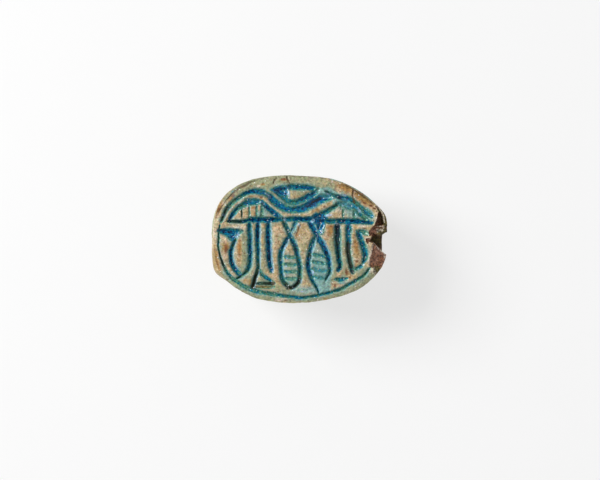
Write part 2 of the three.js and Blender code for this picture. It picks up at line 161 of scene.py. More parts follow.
# Two hooded drops, each with a crossing stroke, a left side and a short branch at its top
DROPS = (
    Line(((-19.5, 31), (-13.5, 12.5), (-10, 2), (-6, -11), (-1.5, -31), (0, -48.5), (-1, -65.5),
          (-7, -75), (-13.5, -77)), (0.3, 0.34, 0.36, 0.38, 0.34, 0.34, 0.34, 0.3, 0.26), 0.28,
         (0.3, 0.4, 0.6, 0.5, 0.6, 0.35, 0.3, 0.2, 0.1), (0.6, 0.4, 0.3, 0.5, 0.4, 0.35, 0.4, 0.8, 0.7),
         0.6),
    Line(((-12.5, 3), (-16.5, -6), (-21, -20), (-21.7, -45.5), (-18.8, -65.5), (-13, -75)),
         (0.28, 0.36, 0.36, 0.34, 0.36, 0.32), 0.28, (0.5, 0.6, 0.45, 0.45, 0.3, 0.1),
         (0, 0, 0.4, 0.2, 0.3, 0.8), 0.8),
    Line(((-11.5, 8), (-7, 19), (-3.5, 28)), (0.26, 0.32, 0.34), 0.18, (0.3, 0.35, 0.5), (0.1, 0, 0),
         0.5),
    Line(((10, 31), (15, 18), (20, 4), (26, -8), (31, -24), (34, -40), (34, -50), (29.5, -65.5)),
         (0.46, 0.42, 0.42, 0.44, 0.44, 0.36, 0.28, 0.18), 0.28,
         (0.6, 0.9, 0.85, 0.7, 0.95, 0.7, 0.4, 0.2), (0.2, 0, 0, 0.1, 0, 0, 0.1, 0), 0.9),
    Line(((18, 5), (13.2, -12), (10.5, -28), (9.9, -46), (13.8, -62.5), (19.3, -76), (21.5, -85)),
         (0.34, 0.4, 0.36, 0.4, 0.4, 0.26, 0.18), 0.28, (0.45, 0.5, 0.4, 0.85, 0.6, 0.4, 0.4),
         (0, 0, 0.6, 0.1, 0.1, 0.2, 0), 1.0),
    Line(((20, 10), (23, 20), (25, 31)), (0.3, 0.42, 0.5), 0.24, (0.5, 0.75, 0.8), (0,), 0.0),
)

# Rungs across each drop, with their first level, their drop to the right and their glaze
Rungs = namedtuple("Rungs", "left right first drop width blue")
RUNGS = (
    Rungs(-18.5, -3, -27.8, 0.5, 0.26, 0.12),
    Rungs(13.5, 30, -24, 3.5, 0.28, 0.3),
)
RUNG_COUNT = 4
RUNG_PITCH = 11.5
RUNG_DEPTH = 0.11

# Fields sunk flat below the face: corners, depth and blue
SUNK = (
    (((-34, 76), (-28, 81.5), (-18, 83), (-12.5, 79), (-14.5, 70), (-17, 64), (-22, 68.5), (-28, 72.5)),
     0.3, 0.66),
    (((-87, 9.5), (-67, 9.5), (-76.5, -4.5)), 0.3, 0.6),
    (((11, 33), (18, 40), (27.5, 39), (32, 31), (27.5, 24), (20, 21), (14, 26)), 0.28, 0.74),
    (((18.5, 25), (28.5, 25), (25.5, 7), (21.5, 7)), 0.18, 0.6),
)

# The beetle: the line behind the head shield, the line between the wing cases, the head and two nicks
BACK_LINES = (
    ((30, 84), (38, 48), (40, 0), (38, -48), (30, -84)),
    ((39, 0), (0, 0), (-50, 0), (-86, 0)),
    ((84, 30), (62, 34), (56, 0), (62, -34), (84, -30)),
    ((20, 58), (30, 70)),
    ((20, -58), (30, -70)),
)
# The legs on each flank, in degrees from the head end: the line over them and the lines that part them
LEG_TOP = (24, 156)
LEG_PARTS = ((38, 52), (72, 60), (96, 108), (128, 118))
LEG_SHARE = 0.86
LEG_STEPS = 40
# Width, depth, blue, and dirt with painted shade of the lines of the back and the legs
BACK_CUT = ((0.36, 0.42, 0.38), 0.22, (0.55, 0.7, 0.5), (0.3,))
LEG_TOP_CUT = ((0.38, 0.44, 0.38), 0.26, (0.55, 0.7, 0.5), (0.4,))
LEG_CUT = ((0.34, 0.42), 0.26, (0.5, 0.7), (0.4,))

# Broken places at the head end
BROKEN = (
    Floor(((85.8, 50.8), (88.6, 46.9), (90, 42), (89.5, 37.5), (88, 32.8), (87, 28), (85.2, 21.9),
           (82.4, 18), (85, 16.5), (108, 16.5), (108, 53), (95, 56)), 0.3, 0.62, 0.05),
    Floor(((90.5, 41), (92.6, 38.5), (94.6, 34), (95.2, 28), (95.3, 22.5), (90.9, 21.2), (86.9, 20.8),
           (87.8, 27), (89, 33), (89.6, 37.5)), 0.95, 1.1, 0.06),
    Floor(((79.5, 14), (83, 18), (88, 19), (103, 19.5), (103, 7), (96.5, 5), (86.4, 7), (79.5, 4.7),
           (78.4, 10)), 0.3, 0.95, 0.09),
    Floor(((84.6, 7), (88.6, 3.9), (94.3, 4), (98, 7), (104, 10), (104, -25), (98, -21.5), (92.6, -16),
           (90.3, -13.3), (86.9, -7), (84, -3.9), (81.2, -3), (82.4, 1.6)), 1.55, 2.3, 0.05),
    Floor(((75.2, 1.1), (80.1, 1.6), (79.9, -3), (76.9, -7.5), (75.3, -4.7)), 0.22, 0.3, 0.05),
    Floor(((84.6, -3.9), (86.9, -6.2), (90.3, -13.3), (91.5, -17.2), (95.5, -19.5), (106, -17.2),
           (106, -39), (90.9, -43), (86.4, -46), (81.2, -45.3), (78.4, -41.4), (78, -36.7), (80.5, -25),
           (81.8, -17.2), (82.5, -8.6)), 0.12, 0.95, 0.06),
    Floor(((84.6, -45.3), (91.5, -42.2), (92.6, -48.4), (87.5, -57), (84.4, -54.7), (83.3, -51.6)), 0.4,
          0.7, 0.06),
)

# Fine cracks and scratches on the face, dark with old dirt
CRACKS = (
    Line(((-97.5, 8), (-95, 32), (-88.5, 51), (-81.5, 63), (-71.5, 76), (-64.8, 81.5), (-56.8, 87.5),
          (-47.7, 93)), (0.12, 0.13, 0.12, 0.14, 0.16, 0.16, 0.1), 0.06, (0.1,),
         (0.2, 0.35, 0.6, 0.5, 0.8, 0.8, 0.5)),
    Line(((-3, 98), (17, 95.8), (34, 92.6), (56.8, 80.5), (70.5, 68.5), (83.5, 54.5)),
         (0.1, 0.11, 0.11, 0.12, 0.1), 0.045, (0.2,), (0.6, 0.7, 0.5, 0.8, 0.8)),
    Line(((61.4, 78), (60.2, 68.7), (62.5, 56)), (0.12, 0.14, 0.12), 0.07, (0.1,), (1.0,)),
    Line(((-14.8, 96.9), (-13.5, 92), (-11.4, 86)), (0.1, 0.16, 0.1), 0.07, (0.1,), (1.0,)),
    Line(((-26.5, 95), (-28.8, 91.5), (-30, 87.5)), (0.1, 0.15, 0.1), 0.06, (0.1,), (1.0,)),
    Line(((1.1, 23.4), (-1.5, 14), (-4.5, 6.2)), (0.1, 0.09, 0.08), 0.04, (0.1,), (0.6,)),
    Line(((-28, 4), (-22, 2.5), (-17, -1)), (0.08,), 0.03, (0.1,), (0.5,)),
    Line(((12, 76), (5, 70), (3, 62)), (0.08,), 0.03, (0.1,), (0.3,)),
    Line(((41, 66), (44, 62), (47.7, 54.7)), (0.1,), 0.05, (0.1,), (0.4,)),
)

# Broken edges that show pale, along the rims of the broken places
PALE_EDGES = (
    Line(((87, 53), (92.5, 45), (95.5, 36), (96.8, 26)), (0.13,)),
    Line(((88.5, 15), (90.5, 13.5)), (0.16,)),
    Line(((93, 14.5), (95.5, 13.5)), (0.16,)),
    Line(((86, 2.5), (87.5, 0.5)), (0.12,)),
    Line(((87, 32.8), (86.5, 28)), (0.28,)),
    Line(((88.6, 19.5), (96.6, 19.5)), (0.1,)),
    Line(((83, -9.4), (81.8, -17.2), (80.7, -23.4), (79, -29.7), (78.4, -36), (79, -40.6)), (0.16,)),
    Line(((85.2, -6.2), (88.6, -10.9), (90.3, -16.4)), (0.14,)),
    Line(((92, -18), (95.5, -21.1), (97.2, -24.2), (97.2, -30)), (0.1,)),
    Line(((75.5, 1.6), (79.5, 2)), (0.16,)),
    Line(((84.1, -46), (80.5, -52)), (0.2,)),
)

# Where films, washes and stains lie
PATCHES = {
    "film": (
        Patch(-78.4, 65.6, 1.3, 0.75, 40, 0.85), Patch(-42, 94.5, 0.85, 0.28, 8, 0.8),
        Patch(35, 83, 0.55, 0.42, 0, 1.0), Patch(69, -48, 0.75, 0.5, 0, 0.9),
        Patch(-62, 12, 1.5, 0.35, 0, 0.2), Patch(86, 61, 0.5, 0.35, -45, 0.8),
        Patch(58, 88, 0.8, 0.25, -20, 0.3), Patch(-40, -66, 0.9, 0.4, 0, 0.7),
        Patch(0, 72, 0.9, 0.3, 0, 0.7),
    ),
    "wash": (
        Patch(59, 42, 1.7, 0.62, -22, 0.75), Patch(22.7, -40.6, 0.62, 1.9, 8, 0.7),
        Patch(26, -73, 0.75, 0.45, 0, 0.95), Patch(10, -80, 2.0, 0.45, 0, 0.8),
        Patch(-57, 0, 0.16, 1.3, 0, 0.9), Patch(38, -36, 0.25, 0.9, 0, 0.35),
        Patch(-55, 60, 0.5, 0.25, 0, 1.0), Patch(-68, -77, 0.5, 0.2, -30, 0.5),
        Patch(47.7, -68, 0.48, 0.2, 0, 0.95), Patch(59.7, -70, 0.2, 0.13, 0, 1.0),
        Patch(-76, 73.4, 0.22, 0.16, 0, 0.8), Patch(20, 30, 0.6, 0.4, 0, 0.7),
        Patch(48, 72, 0.35, 0.2, 0, 0.6), Patch(-10, -40, 0.5, 1.3, 0, 0.25),
        Patch(62, -20, 0.4, 1.5, 0, 0.15),
    ),
    "rust": (
        Patch(60.5, 74, 0.12, 0.28, 0, 1.0), Patch(63, 56, 0.18, 0.12, 0, 1.0),
        Patch(-19, -95.5, 0.5, 0.12, 3, 1.0), Patch(57, -60, 0.12, 0.1), Patch(-63, -22, 0.08, 0.08),
        Patch(27, 42, 0.12, 0.12), Patch(-53, 24, 0.1, 0.1), Patch(73, 56.5, 0.16, 0.1, -30, 1.0),
        Patch(81, 51.5, 0.28, 0.09, -20, 1.0), Patch(85.5, 47, 0.14, 0.1, 0, 1.0),
        Patch(71, 70, 0.35, 0.14, -30, 0.8), Patch(62, 75, 0.22, 0.1, -20, 0.7),
        Patch(57, 82, 0.3, 0.09, -25, 0.6), Patch(-10, 92, 0.12, 0.3, 0, 0.5),
        Patch(-77, 12, 0.3, 0.08, 0, 0.4), Patch(-56, 66.5, 0.35, 0.1, 0, 0.6), Patch(22, -3, 0.1, 0.1),
        Patch(12, -88.5, 0.5, 0.07, 8, 0.6), Patch(-12, -98, 0.5, 0.08, 0, 0.9),
        Patch(-44.3, 65.6, 0.2, 0.2), Patch(-92.6, 46.9, 0.22, 0.2), Patch(-75.6, 67.2, 0.22, 0.18),
        Patch(-18.8, 93, 0.28, 0.17), Patch(-84, -16.4, 0.2, 0.5), Patch(35, 20, 0.1, 0.12),
        Patch(32, 6, 0.1, 0.14), Patch(64.8, -35, 0.22, 0.16), Patch(52.8, -51.6, 0.16, 0.42),
        Patch(39.8, -73.4, 0.14, 0.32), Patch(73.3, 17.2, 0.25, 0.14), Patch(54, 82, 0.14, 0.12),
        Patch(74.4, 55.5, 0.14, 0.14), Patch(80.7, 52.3, 0.14, 0.12), Patch(84, 47.7, 0.13, 0.13),
        Patch(27.8, 50, 0.15, 0.13), Patch(-17.6, -97, 0.35, 0.12), Patch(-25, -82.8, 0.12, 0.12),
        Patch(-65.3, -81.3, 0.14, 0.12), Patch(39.2, -91.4, 0.13, 0.12),
    ),
    "ochre": (
        Patch(-42, 85, 0.24, 0.13), Patch(-18.5, 92.5, 0.36, 0.13, 0, 1.0),
        Patch(-53.4, 49.2, 0.2, 0.18), Patch(18.8, 43.8, 0.4, 0.3, 0, 0.9),
        Patch(70.5, 62.5, 0.5, 0.45, -30, 0.9), Patch(72.7, 65.6, 1.4, 0.8, -35, 0.8),
        Patch(67, 69, 0.4, 0.2, -35, 1.0), Patch(73, 61, 0.3, 0.18, -35, 1.0),
        Patch(55, 82, 0.35, 0.2, -25, 1.0), Patch(29.5, -93.8, 0.25, 0.14),
        Patch(-94.9, -36, 0.6, 1.6, 0, 1.0), Patch(-42, -75, 0.9, 0.16, 0, 0.9),
        Patch(-55.7, -68.8, 0.2, 0.3, 0, 0.5), Patch(35, 14, 0.35, 0.75, 0, 0.85),
        Patch(63.6, -9.4, 0.3, 1.1, 5, 0.8), Patch(51, 80, 0.9, 0.35, -22, 0.85),
        Patch(-92, 47, 0.3, 0.9, -20, 0.9), Patch(-79, 62, 0.3, 0.6, -45, 0.8),
        Patch(61.5, -40, 0.35, 0.3, 0, 0.8), Patch(-84, -13, 0.4, 0.6, 0, 0.7),
        Patch(-69, -12, 0.2, 1.0, 0, 0.9), Patch(-43, -2, 0.14, 1.6, 0, 0.6),
        Patch(-27, 8, 0.3, 0.8, 0, 0.4), Patch(-2.5, 12, 0.14, 0.7, -12, 0.8),
        Patch(48, -46, 0.25, 0.5, 0, 0.7), Patch(-50, 67, 0.9, 0.2, 0, 0.6),
        Patch(-2, 12, 0.2, 0.5, -20, 0.6), Patch(5, 52, 2.6, 0.35, 10, 0.35),
        Patch(-55, 40, 0.8, 0.35, 0, 0.35), Patch(66, 40, 0.25, 0.3, 0, 0.5),
    ),
    # Painted lilac-white highlights on glazed walls and lands
    "lilac_highlight": (
        Patch(49.5, 68, 0.38, 0.12, -14, 1.0), Patch(31, 70.5, 0.35, 0.13, -25, 0.8),
        Patch(-12.8, 71, 0.16, 0.42, 8, 0.9), Patch(-41, 54, 0.3, 0.12, -40, 0.8),
        Patch(33, 37, 0.42, 0.14, 10, 0.9), Patch(-87, 38, 0.14, 0.2, 0, 0.8),
        Patch(-17, 30.5, 0.22, 0.14, 0, 0.9), Patch(15, 28.5, 0.16, 0.26, -30, 1.0),
        Patch(15, -51, 0.12, 0.3, 0, 0.9), Patch(-16.5, -12, 0.14, 0.3, -10, 0.8),
        Patch(68, 44, 0.2, 0.3, 30, 0.8), Patch(-35, 66, 0.18, 0.3, 35, 0.7),
        Patch(-71, 53, 0.3, 0.1, 40, 0.8), Patch(49, 52, 0.2, 0.12, 0, 0.7),
        Patch(41.5, 24, 0.3, 0.1, 0, 0.6), Patch(3, -81.5, 0.35, 0.1, 0, 0.8),
        Patch(-15, -30, 0.1, 0.14, 0, 0.9), Patch(-16, -42, 0.12, 0.12, 0, 0.9),
        Patch(-70.5, 6, 0.14, 0.4, -25, 0.8), Patch(-1, 22, 0.16, 0.3, 20, 0.8),
        Patch(28, 64, 0.5, 0.1, 12, 0.4),
    ),
    "mustard": (
        Patch(-41, -74.5, 1.0, 0.15, 0, 1.0), Patch(-30.5, -70, 0.14, 0.34, 0, 0.9),
        Patch(-57, -67, 0.12, 0.5, -8, 1.0), Patch(52.3, -18, 0.1, 1.0, 4, 0.7),
        Patch(60.5, 4, 0.1, 0.5, 0, 0.8), Patch(-97, -34, 0.3, 1.2, 3, 1.0),
        Patch(-86, 50, 0.12, 0.5, -38, 0.5), Patch(-12, -78, 0.3, 0.14, 10, 0.8),
        Patch(-78, 30, 0.12, 0.2, 0, 0.5), Patch(51, 83, 0.9, 0.24, -22, 0.9),
        Patch(70, 66, 0.9, 0.2, -33, 0.8), Patch(-56, 82.5, 0.9, 0.1, 22, 0.5),
    ),
    "pale": (
        Patch(-94, 38, 0.1, 0.5, -12, 0.8), Patch(-86.5, 56, 0.1, 0.4, -38, 0.7),
        Patch(-20, -93, 1.0, 0.1, 3, 0.6), Patch(-22.7, -94.5, 0.55, 0.17),
        Patch(5, -82, 1.2, 0.22, 0, 0.4), Patch(16, 3, 0.5, 0.1, 60, 0.3), Patch(-47, 82, 0.16, 0.12),
        Patch(-70, 18.5, 1.2, 0.16, 0, 0.7), Patch(71.5, 19.5, 0.55, 0.16, 0, 0.8),
        Patch(85, -52, 0.2, 0.35, 20, 0.9), Patch(-97, 10, 0.15, 1.2, 0, 0.7),
        Patch(20, 98, 1.2, 0.1, -4, 0.8), Patch(60, -78, 1.0, 0.25, 35, 0.4), Patch(-78.4, -4, 0.1, 0.1),
        Patch(-46.6, -39.8, 0.08, 0.08), Patch(-48.9, 76.6, 0.08, 0.08), Patch(36.4, 89, 0.1, 0.1),
        Patch(42.6, -51.6, 0.1, 0.1), Patch(6.8, 47.7, 0.08, 0.08), Patch(-19.3, -39, 0.08, 0.08),
        Patch(26.7, -6.2, 0.08, 0.08), Patch(31.2, -22.7, 0.09, 0.08), Patch(-10.2, 3.1, 0.08, 0.08),
        Patch(9.7, -34.4, 0.08, 0.08), Patch(-14.8, -62.5, 0.08, 0.08), Patch(-13.6, 29.7, 0.08, 0.08),
        Patch(-19.3, 23.4, 0.08, 0.08), Patch(2.3, -79.7, 0.08, 0.08), Patch(96, 17.2, 0.1, 0.08),
        Patch(91.5, 13.3, 0.1, 0.1), Patch(94.3, 12.5, 0.08, 0.12), Patch(89.2, 10.9, 0.12, 0.08),
    ),
}

# Olive stain on the broken places, and dark dirt with painted shade in their hollows
OLIVE = (
    Patch(96.5, 30, 0.3, 1.2, 12, 1.0), Patch(95, 10, 0.75, 0.5, 0, 1.0),
    Patch(92, 45, 0.35, 0.35, 0, 0.9), Patch(88, -2, 0.5, 0.5, 0, 1.0), Patch(88, -50, 0.4, 0.4, 0, 0.9),
    Patch(93, -6, 0.35, 0.5, 0, 1.0),
)
BREAK_DIRT_AND_SHADE = (
    Patch(91.5, 30, 0.3, 0.8, 8, 1.0), Patch(92.5, 10.5, 0.16, 0.12), Patch(89.5, 18, 0.4, 0.07),
    Patch(82, -44, 0.3, 0.12), Patch(94.6, -31, 0.14, 0.12), Patch(84.6, -42.5, 0.3, 0.1),
    Patch(88, 5, 0.5, 0.14, 0, 0.8), Patch(83.5, -1, 0.25, 0.3, 0, 0.7),
)

# Bands of grey-green film along the rim and between the lines, with their strength in place of blue
FILM_BANDS = (
    Line(((-97, 20), (-91, 44), (-80, 62), (-64, 77), (-45, 88), (-22, 93), (0, 94), (22, 92), (42, 86)),
         (0.5, 0.8, 1.0, 1.1, 1.2, 1.3, 1.3, 1.1, 0.6), 0.0,
         (0.2, 0.3, 0.6, 0.8, 0.8, 0.7, 0.75, 0.6, 0.2)),
    Line(((-90, -48), (-76, -70), (-55, -87), (-30, -95), (0, -98), (30, -94), (55, -83), (75, -66),
          (88, -48)), (0.6, 0.7, 0.6, 0.5, 0.5, 0.6, 0.7, 0.8, 0.7), 0.0,
         (0.5, 0.7, 0.8, 0.6, 0.6, 0.65, 0.6, 0.7, 0.75)),
    Line(((-33, 80), (0, 86), (24, 83)), (0.6,), 0.0, (0.7,)),
    Line(((-63.5, 6), (-63, -10), (-63, -38), (-69, -52)), (0.4,), 0.0, (0.75,)),
    Line(((-54, 10), (-53, -30), (-58, -60)), (0.4,), 0.0, (0.6,)),
    Line(((-44, 15), (-42.5, -30), (-44, -60)), (0.5,), 0.0, (0.5, 0.35, 0.6)),
    Line(((37, 20), (38, -30), (36, -62)), (0.6,), 0.0, (0.3, 0.75, 0.85)),
    Line(((49, 15), (50, -30), (50, -55)), (0.5,), 0.0, (0.35, 0.45, 0.6)),
    Line(((-62, 4), (-20, 4)), (0.5,), 0.0, (0.35,)),
    Line(((4, 0), (4, -60)), (0.5,), 0.0, (0.3, 0.5)),
    Line(((-30, -72), (-18, -82), (6, -82)), (0.5,), 0.0, (0.6,)),
)

# Bands of light blue wash along the upper right edge, beside the swags and arches, and in the drops
WASH_BANDS = (
    Line(((35, 95), (50, 88.5), (62, 81), (74, 70.5), (86, 57)), (0.16,), 0.0, (0.7, 0.8, 0.9, 0.9)),
    Line(((-24, 66), (-14, 55), (-2, 51), (10, 57), (22, 66)), (0.3, 0.45, 0.45, 0.45, 0.4), 0.0,
         (0.5, 0.6, 0.5, 0.4, 0.7)),
    Line(((20, 72), (34, 70), (44, 66)), (0.8, 0.9, 0.5), 0.0, (0.8, 0.9, 0.7)),
    Line(((40, 57), (50, 57), (58, 52)), (0.5, 0.7, 0.6), 0.0, (0.8, 1.0, 0.9)),
    Line(((68, 50), (78, 40), (86, 28)), (0.5, 0.6, 0.5), 0.0, (0.6, 0.8, 0.4)),
    Line(((-46, 40), (-38, 42), (-30, 38)), (0.5, 0.6, 0.4), 0.0, (0.7, 0.6, 0.4)),
    Line(((-18, -25), (-10, -45), (-12, -68)), (1.2,), 0.0, (0.3, 0.5, 0.5)),
    Line(((19, -8), (22, -35), (27, -75)), (0.9, 1.3, 1.2), 0.0, (0.5, 0.75, 0.95)),
    Line(((-8, 22), (-6, 12)), (0.4,), 0.0, (0.7,)),
    Line(((45, 5), (47, -30)), (0.35,), 0.0, (0.6, 0.4)),
)

# What the cutting leaves at each place, among it a painted highlight and painted shade, and all the marks
# that the materials read
CUT_MARKS = ("hollow", "halo", "sheen", "blue", "dirt", "crack")
MARKS = (*CUT_MARKS, *PATCHES)

# How square each corner of the outline is, counter-clockwise from the head's top corner
CORNER_SQUARENESS = (2.08, 2.75, 2.55, 2.25)
# Where the hand-cut side departs from that: degrees from the head end, spread, and how far out in mm
OUTLINE_BUMPS = ((81, 10, -0.1), (-63, 12, -0.1), (-139, 7, -0.1), (143, 8, 0.04))
PLINTH_BUMPS = ((15, 6, 0.33), (-13.5, 5, 0.14))
FLANK_BUMPS = ((-161, 5, 0.24), (-157, 3, 0.14))
# Where no glaze pooled in the waist: degrees from the head end, spread, and how bare it is
BARE_WAIST = ((-161, 12, 1.2), (180, 14, 0.8))
# How narrowly the head's setback and the tail's bulge keep to their ends, and how full the dome is
HEAD_NARROWNESS = 8
TAIL_NARROWNESS = 4
DOME_ROUNDNESS = 2.2

# Levels of the mesh rings down the plinth, as shares, and the number of rings up the flank
PLINTH_RINGS = (0.15, 0.18, 0.23, 0.36, 0.5, 0.66, 0.79, 0.87, 1.0)
FLANK_RINGS = 16
# How deep into the waist the face's half and the back's half reach, as shares
PLINTH_SEAM = 0.5
FLANK_SEAM = 0.62
# Grid cells along and across, how sharply they follow the edge, and the share that covers the flat
FACE_CELLS = (252, 180)
BACK_CELLS = (168, 120)
FACE_EASE = 1.6
FLAT_CELLS = 0.24
# A small step in mm, over which the dome's slope is measured
TINY = 0.02

# How much deeper than it is listed a line is cut, and the worn bevel beside it: its share and its reach
CARVING_DEPTH = 1.55
WORN_SHARE = 0.26
WORN_REACH = 2.3
# How far the thin glaze beside a line reaches, and the least width of a line with all of it, in mm
HALO_REACH = 0.5
HALO_WIDTH = 0.34
# The side of a line whose wall faces the window light at the left and gets a painted highlight, and how
# strong that painted highlight is in the swags
FAR_SIDE = (0.94, -0.34)
SWAG_PAINTED_SHEEN = 0.1
# How far below the face its marks and the pale broken edges reach, in mm
FACE_REACH = 0.75
PALE_REACH = 2.2

# The bore's mesh, and how far it runs past both ends, in mm
BORE_SIDES = 44
BORE_RINGS = 60
BORE_OVERRUN = 0.7

# The finished mesh: vertices closer than this in mm are one, and edges over this many degrees stay sharp
DOUBLES = 0.002
SHARP_ANGLE = 50
FEWEST_FACES = 1000

# Painted glints: small white highlights on the face and in the pooled glaze
SPECK_GLINT_WHITE = (0.82, 0.84, 0.82, 1.0)
GLINT_WHITE = (0.82, 0.86, 0.88, 1.0)

# The camera's lens and sensor in mm, and one pixel of the photograph at the face, in mm
LENS = 135.0
SENSOR_WIDTH = 36.0
PIXEL = 0.0966
# The table's side in metres, the fill light's power as a share of the window's, and the sky right overhead
TABLE_SIZE = 1.6
FILL_SHARE = 0.12
OVERHEAD_SKY = 0.08


def smoothstep(low, high, value):
    share = np.clip((value - low) / (high - low), 0.0, 1.0)
    return share * share * (3.0 - 2.0 * share)


def mix(first, second, share):
    return first + (second - first) * share


# The lattice of random values behind all lumps, and its turn away from the axes
LATTICE = 64
LATTICE_TURN = np.array(Matrix.Rotation(0.7, 3, (0.3, 0.5, 0.8)))


def lumps(places, size, seed):
    """Smooth lumps about size mm across, from -1 to 1 and the same on every run."""
    values = np.random.default_rng(seed).uniform(-1.0, 1.0, (LATTICE,) * 3)
    spots = places @ LATTICE_TURN / size
    cells = np.floor(spots).astype(int)
    shares = smoothstep(0.0, 1.0, spots - cells)
    total = np.zeros(len(places))
    for corner in np.ndindex(2, 2, 2):
        weights = np.where(corner, shares, 1.0 - shares).prod(axis=1)
        total += weights * values[tuple(((cells + corner) % LATTICE).T)]
    return total


def bumps_at(angle, bumps):
    """Sum of soft bumps round the side."""
    total = np.zeros(np.shape(angle))
    for degrees, spread, reach in bumps:
        turn = np.degrees(np.angle(np.exp(1j * (angle - math.radians(degrees)))))
        total += reach * np.exp(-((turn / spread) ** 2) / 2)
    return total


def to_mm(points):
    return np.array(points, float) * (Shape.half_length / 100, Shape.half_width / 100)


class Shape:
    """The amulet's outline, side section and dome in millimetres, close to the solid that it replaces."""

    @classmethod
    def measure(cls, sizes):
        """Takes the sizes that the user set."""
        cls.half_length = sizes.length / MM / 2
        cls.half_width = sizes.width / MM / 2
        cls.height = sizes.height / MM
        cls.edge_wear = sizes.edge_wear / MM
        cls.plinth = sizes.plinth_height / MM
        cls.waist = sizes.waist_height / MM
        cls.waist_depth = sizes.waist_depth / MM
        cls.flank = sizes.flank_height / MM
        cls.flank_inset = sizes.flank_inset / MM
        cls.shoulder_inset = sizes.shoulder_inset / MM
        cls.head_setback = sizes.head_setback / MM
        cls.tail_bulge = sizes.tail_bulge / MM
        cls.flat_share = sizes.flat_share
        cls.bore_radius = sizes.bore_width / MM / 2
        cls.bore_ends = (sizes.bore_tail_depth / MM, sizes.bore_head_depth / MM)
        cls.bore_offset = sizes.bore_offset / MM
        cls.flank_top = cls.plinth + cls.waist
        cls.shoulder = cls.flank_top + cls.flank
        cls.flat_reach = (1 - cls.flat_share**DOME_ROUNDNESS) ** (1 / DOME_ROUNDNESS)
        cls.dome = (cls.height - cls.shoulder) / cls.flat_reach
        wear, inset = cls.edge_wear, cls.flank_inset
        cls.section = np.array(
            (
                (0.0, wear),
                (wear * 0.3, wear * 0.42),
                (wear, wear * 0.08),
                (cls.plinth - wear / 2, 0.0),
                (cls.plinth, cls.waist_depth * 0.4),
                (cls.plinth + cls.waist / 2, cls.waist_depth),
                (cls.flank_top, inset + cls.waist_depth * 0.5),
                (cls.flank_top + cls.flank * 0.25, inset + cls.waist_depth * 0.12),
                (cls.flank_top + cls.flank * 0.5, inset),
                (cls.flank_top + cls.flank * 0.75, mix(inset, cls.shoulder_inset, 0.3)),
                (cls.shoulder, cls.shoulder_inset),
            )
        ).T

    @classmethod
    def outline(cls, angle):
        """Radius of the plan outline."""
        quarter = np.floor(np.mod(angle, 2 * np.pi) / (np.pi / 2)).astype(int) % 4
        squareness = np.array(CORNER_SQUARENESS)[quarter]
        along = (np.abs(np.cos(angle)) / cls.half_length) ** squareness
        across = (np.abs(np.sin(angle)) / cls.half_width) ** squareness
        return (along + across) ** (-1 / squareness) + bumps_at(angle, OUTLINE_BUMPS)

    @classmethod
    def radius(cls, angle, depth):
        """Radius of the side at a depth below the face, down to the shoulder."""
        head = np.maximum(0.0, np.cos(angle)) ** HEAD_NARROWNESS
        tail = np.maximum(0.0, -np.cos(angle)) ** TAIL_NARROWNESS
        below = smoothstep(cls.plinth - cls.edge_wear / 2, cls.flank_top, depth)
        on_plinth = cls.tail_bulge * tail - bumps_at(angle, PLINTH_BUMPS)
        on_flank = cls.head_setback * head - cls.flank_inset * tail - bumps_at(angle, FLANK_BUMPS)
        end = mix(on_plinth, on_flank, below)
        return cls.outline(angle) - np.interp(depth, *cls.section) - end

    @classmethod
    def bore_level(cls, x):
        """Height of the bore's middle above the table at a place along the amulet."""
        return cls.height - mix(*cls.bore_ends, (x / cls.half_length + 1) / 2)

    @classmethod
    def dome_level(cls, x, y):
        """Height of the beetle's back above the table, straight under a place in plan."""
        share = np.hypot(x, y) / cls.radius(np.arctan2(y, x), cls.shoulder)
        reach = (1 - np.clip(share, 0.0, 1.0) ** DOME_ROUNDNESS) ** (1 / DOME_ROUNDNESS)
        return cls.height - cls.shoulder - np.minimum(reach, cls.flat_reach) * cls.dome

    @classmethod
    def girth(cls, angle):
        """How far along the outline a place lies, from the head end, in mm."""
        stops = np.linspace(-np.pi, np.pi, 721)
        steps = cls.outline((stops[1:] + stops[:-1]) / 2) * np.diff(stops)
        return np.interp(angle, stops, np.concatenate(((0.0,), np.cumsum(steps))))


def smooth_line(points):
    """Close places on a smooth curve through points in mm, and how far along it each lies, from 0 to 1."""
    knots = np.vstack((2 * points[0] - points[1], points, 2 * points[-1] - points[-2]))
    places = [points[:1]]
    for before, start, end, after in zip(knots, knots[1:], knots[2:], knots[3:]):
        gap = [np.linalg.norm(step) ** 0.5 + 1e-9 for step in (start - before, end - start, after - end)]
        leave = (start - before) / gap[0] - (end - before) / (gap[0] + gap[1]) + (end - start) / gap[1]
        arrive = (end - start) / gap[1] - (after - start) / (gap[1] + gap[2]) + (after - end) / gap[2]
        count = max(2, math.ceil(gap[1] ** 2 / 0.14))
        t = np.linspace(0.0, 1.0, count + 1)[1:, None]
        bend = (t**3 - 2 * t**2 + t) * leave * gap[1] + (t**3 - t**2) * arrive * gap[1]
        places.append(mix(start, end, 3 * t**2 - 2 * t**3) + bend)
    places = np.vstack(places)
    along = np.concatenate(((0.0,), np.cumsum(np.linalg.norm(np.diff(places, axis=0), axis=1))))
    return places, along


def nearest(x, y, places, along):
    """Each point's distance from a line, how far along its nearest place lies, and on which side."""
    away = np.full(len(x), np.inf)
    where = np.zeros(len(x))
    facing = np.zeros(len(x))
    for start, end, begin, finish in zip(places, places[1:], along, along[1:]):
        step = end - start
        share = ((x - start[0]) * step[0] + (y - start[1]) * step[1]) / (step @ step)
        share = np.clip(share, 0.0, 1.0)
        aside_x = x - start[0] - share * step[0]
        aside_y = y - start[1] - share * step[1]
        distance = np.hypot(aside_x, aside_y)
        closer = distance < away
        away[closer] = distance[closer]
        where[closer] = mix(begin, finish, share[closer])
        toward = (aside_x * FAR_SIDE[0] + aside_y * FAR_SIDE[1]) / np.maximum(distance, 1e-9)
        facing[closer] = toward[closer]
    return away, where, facing


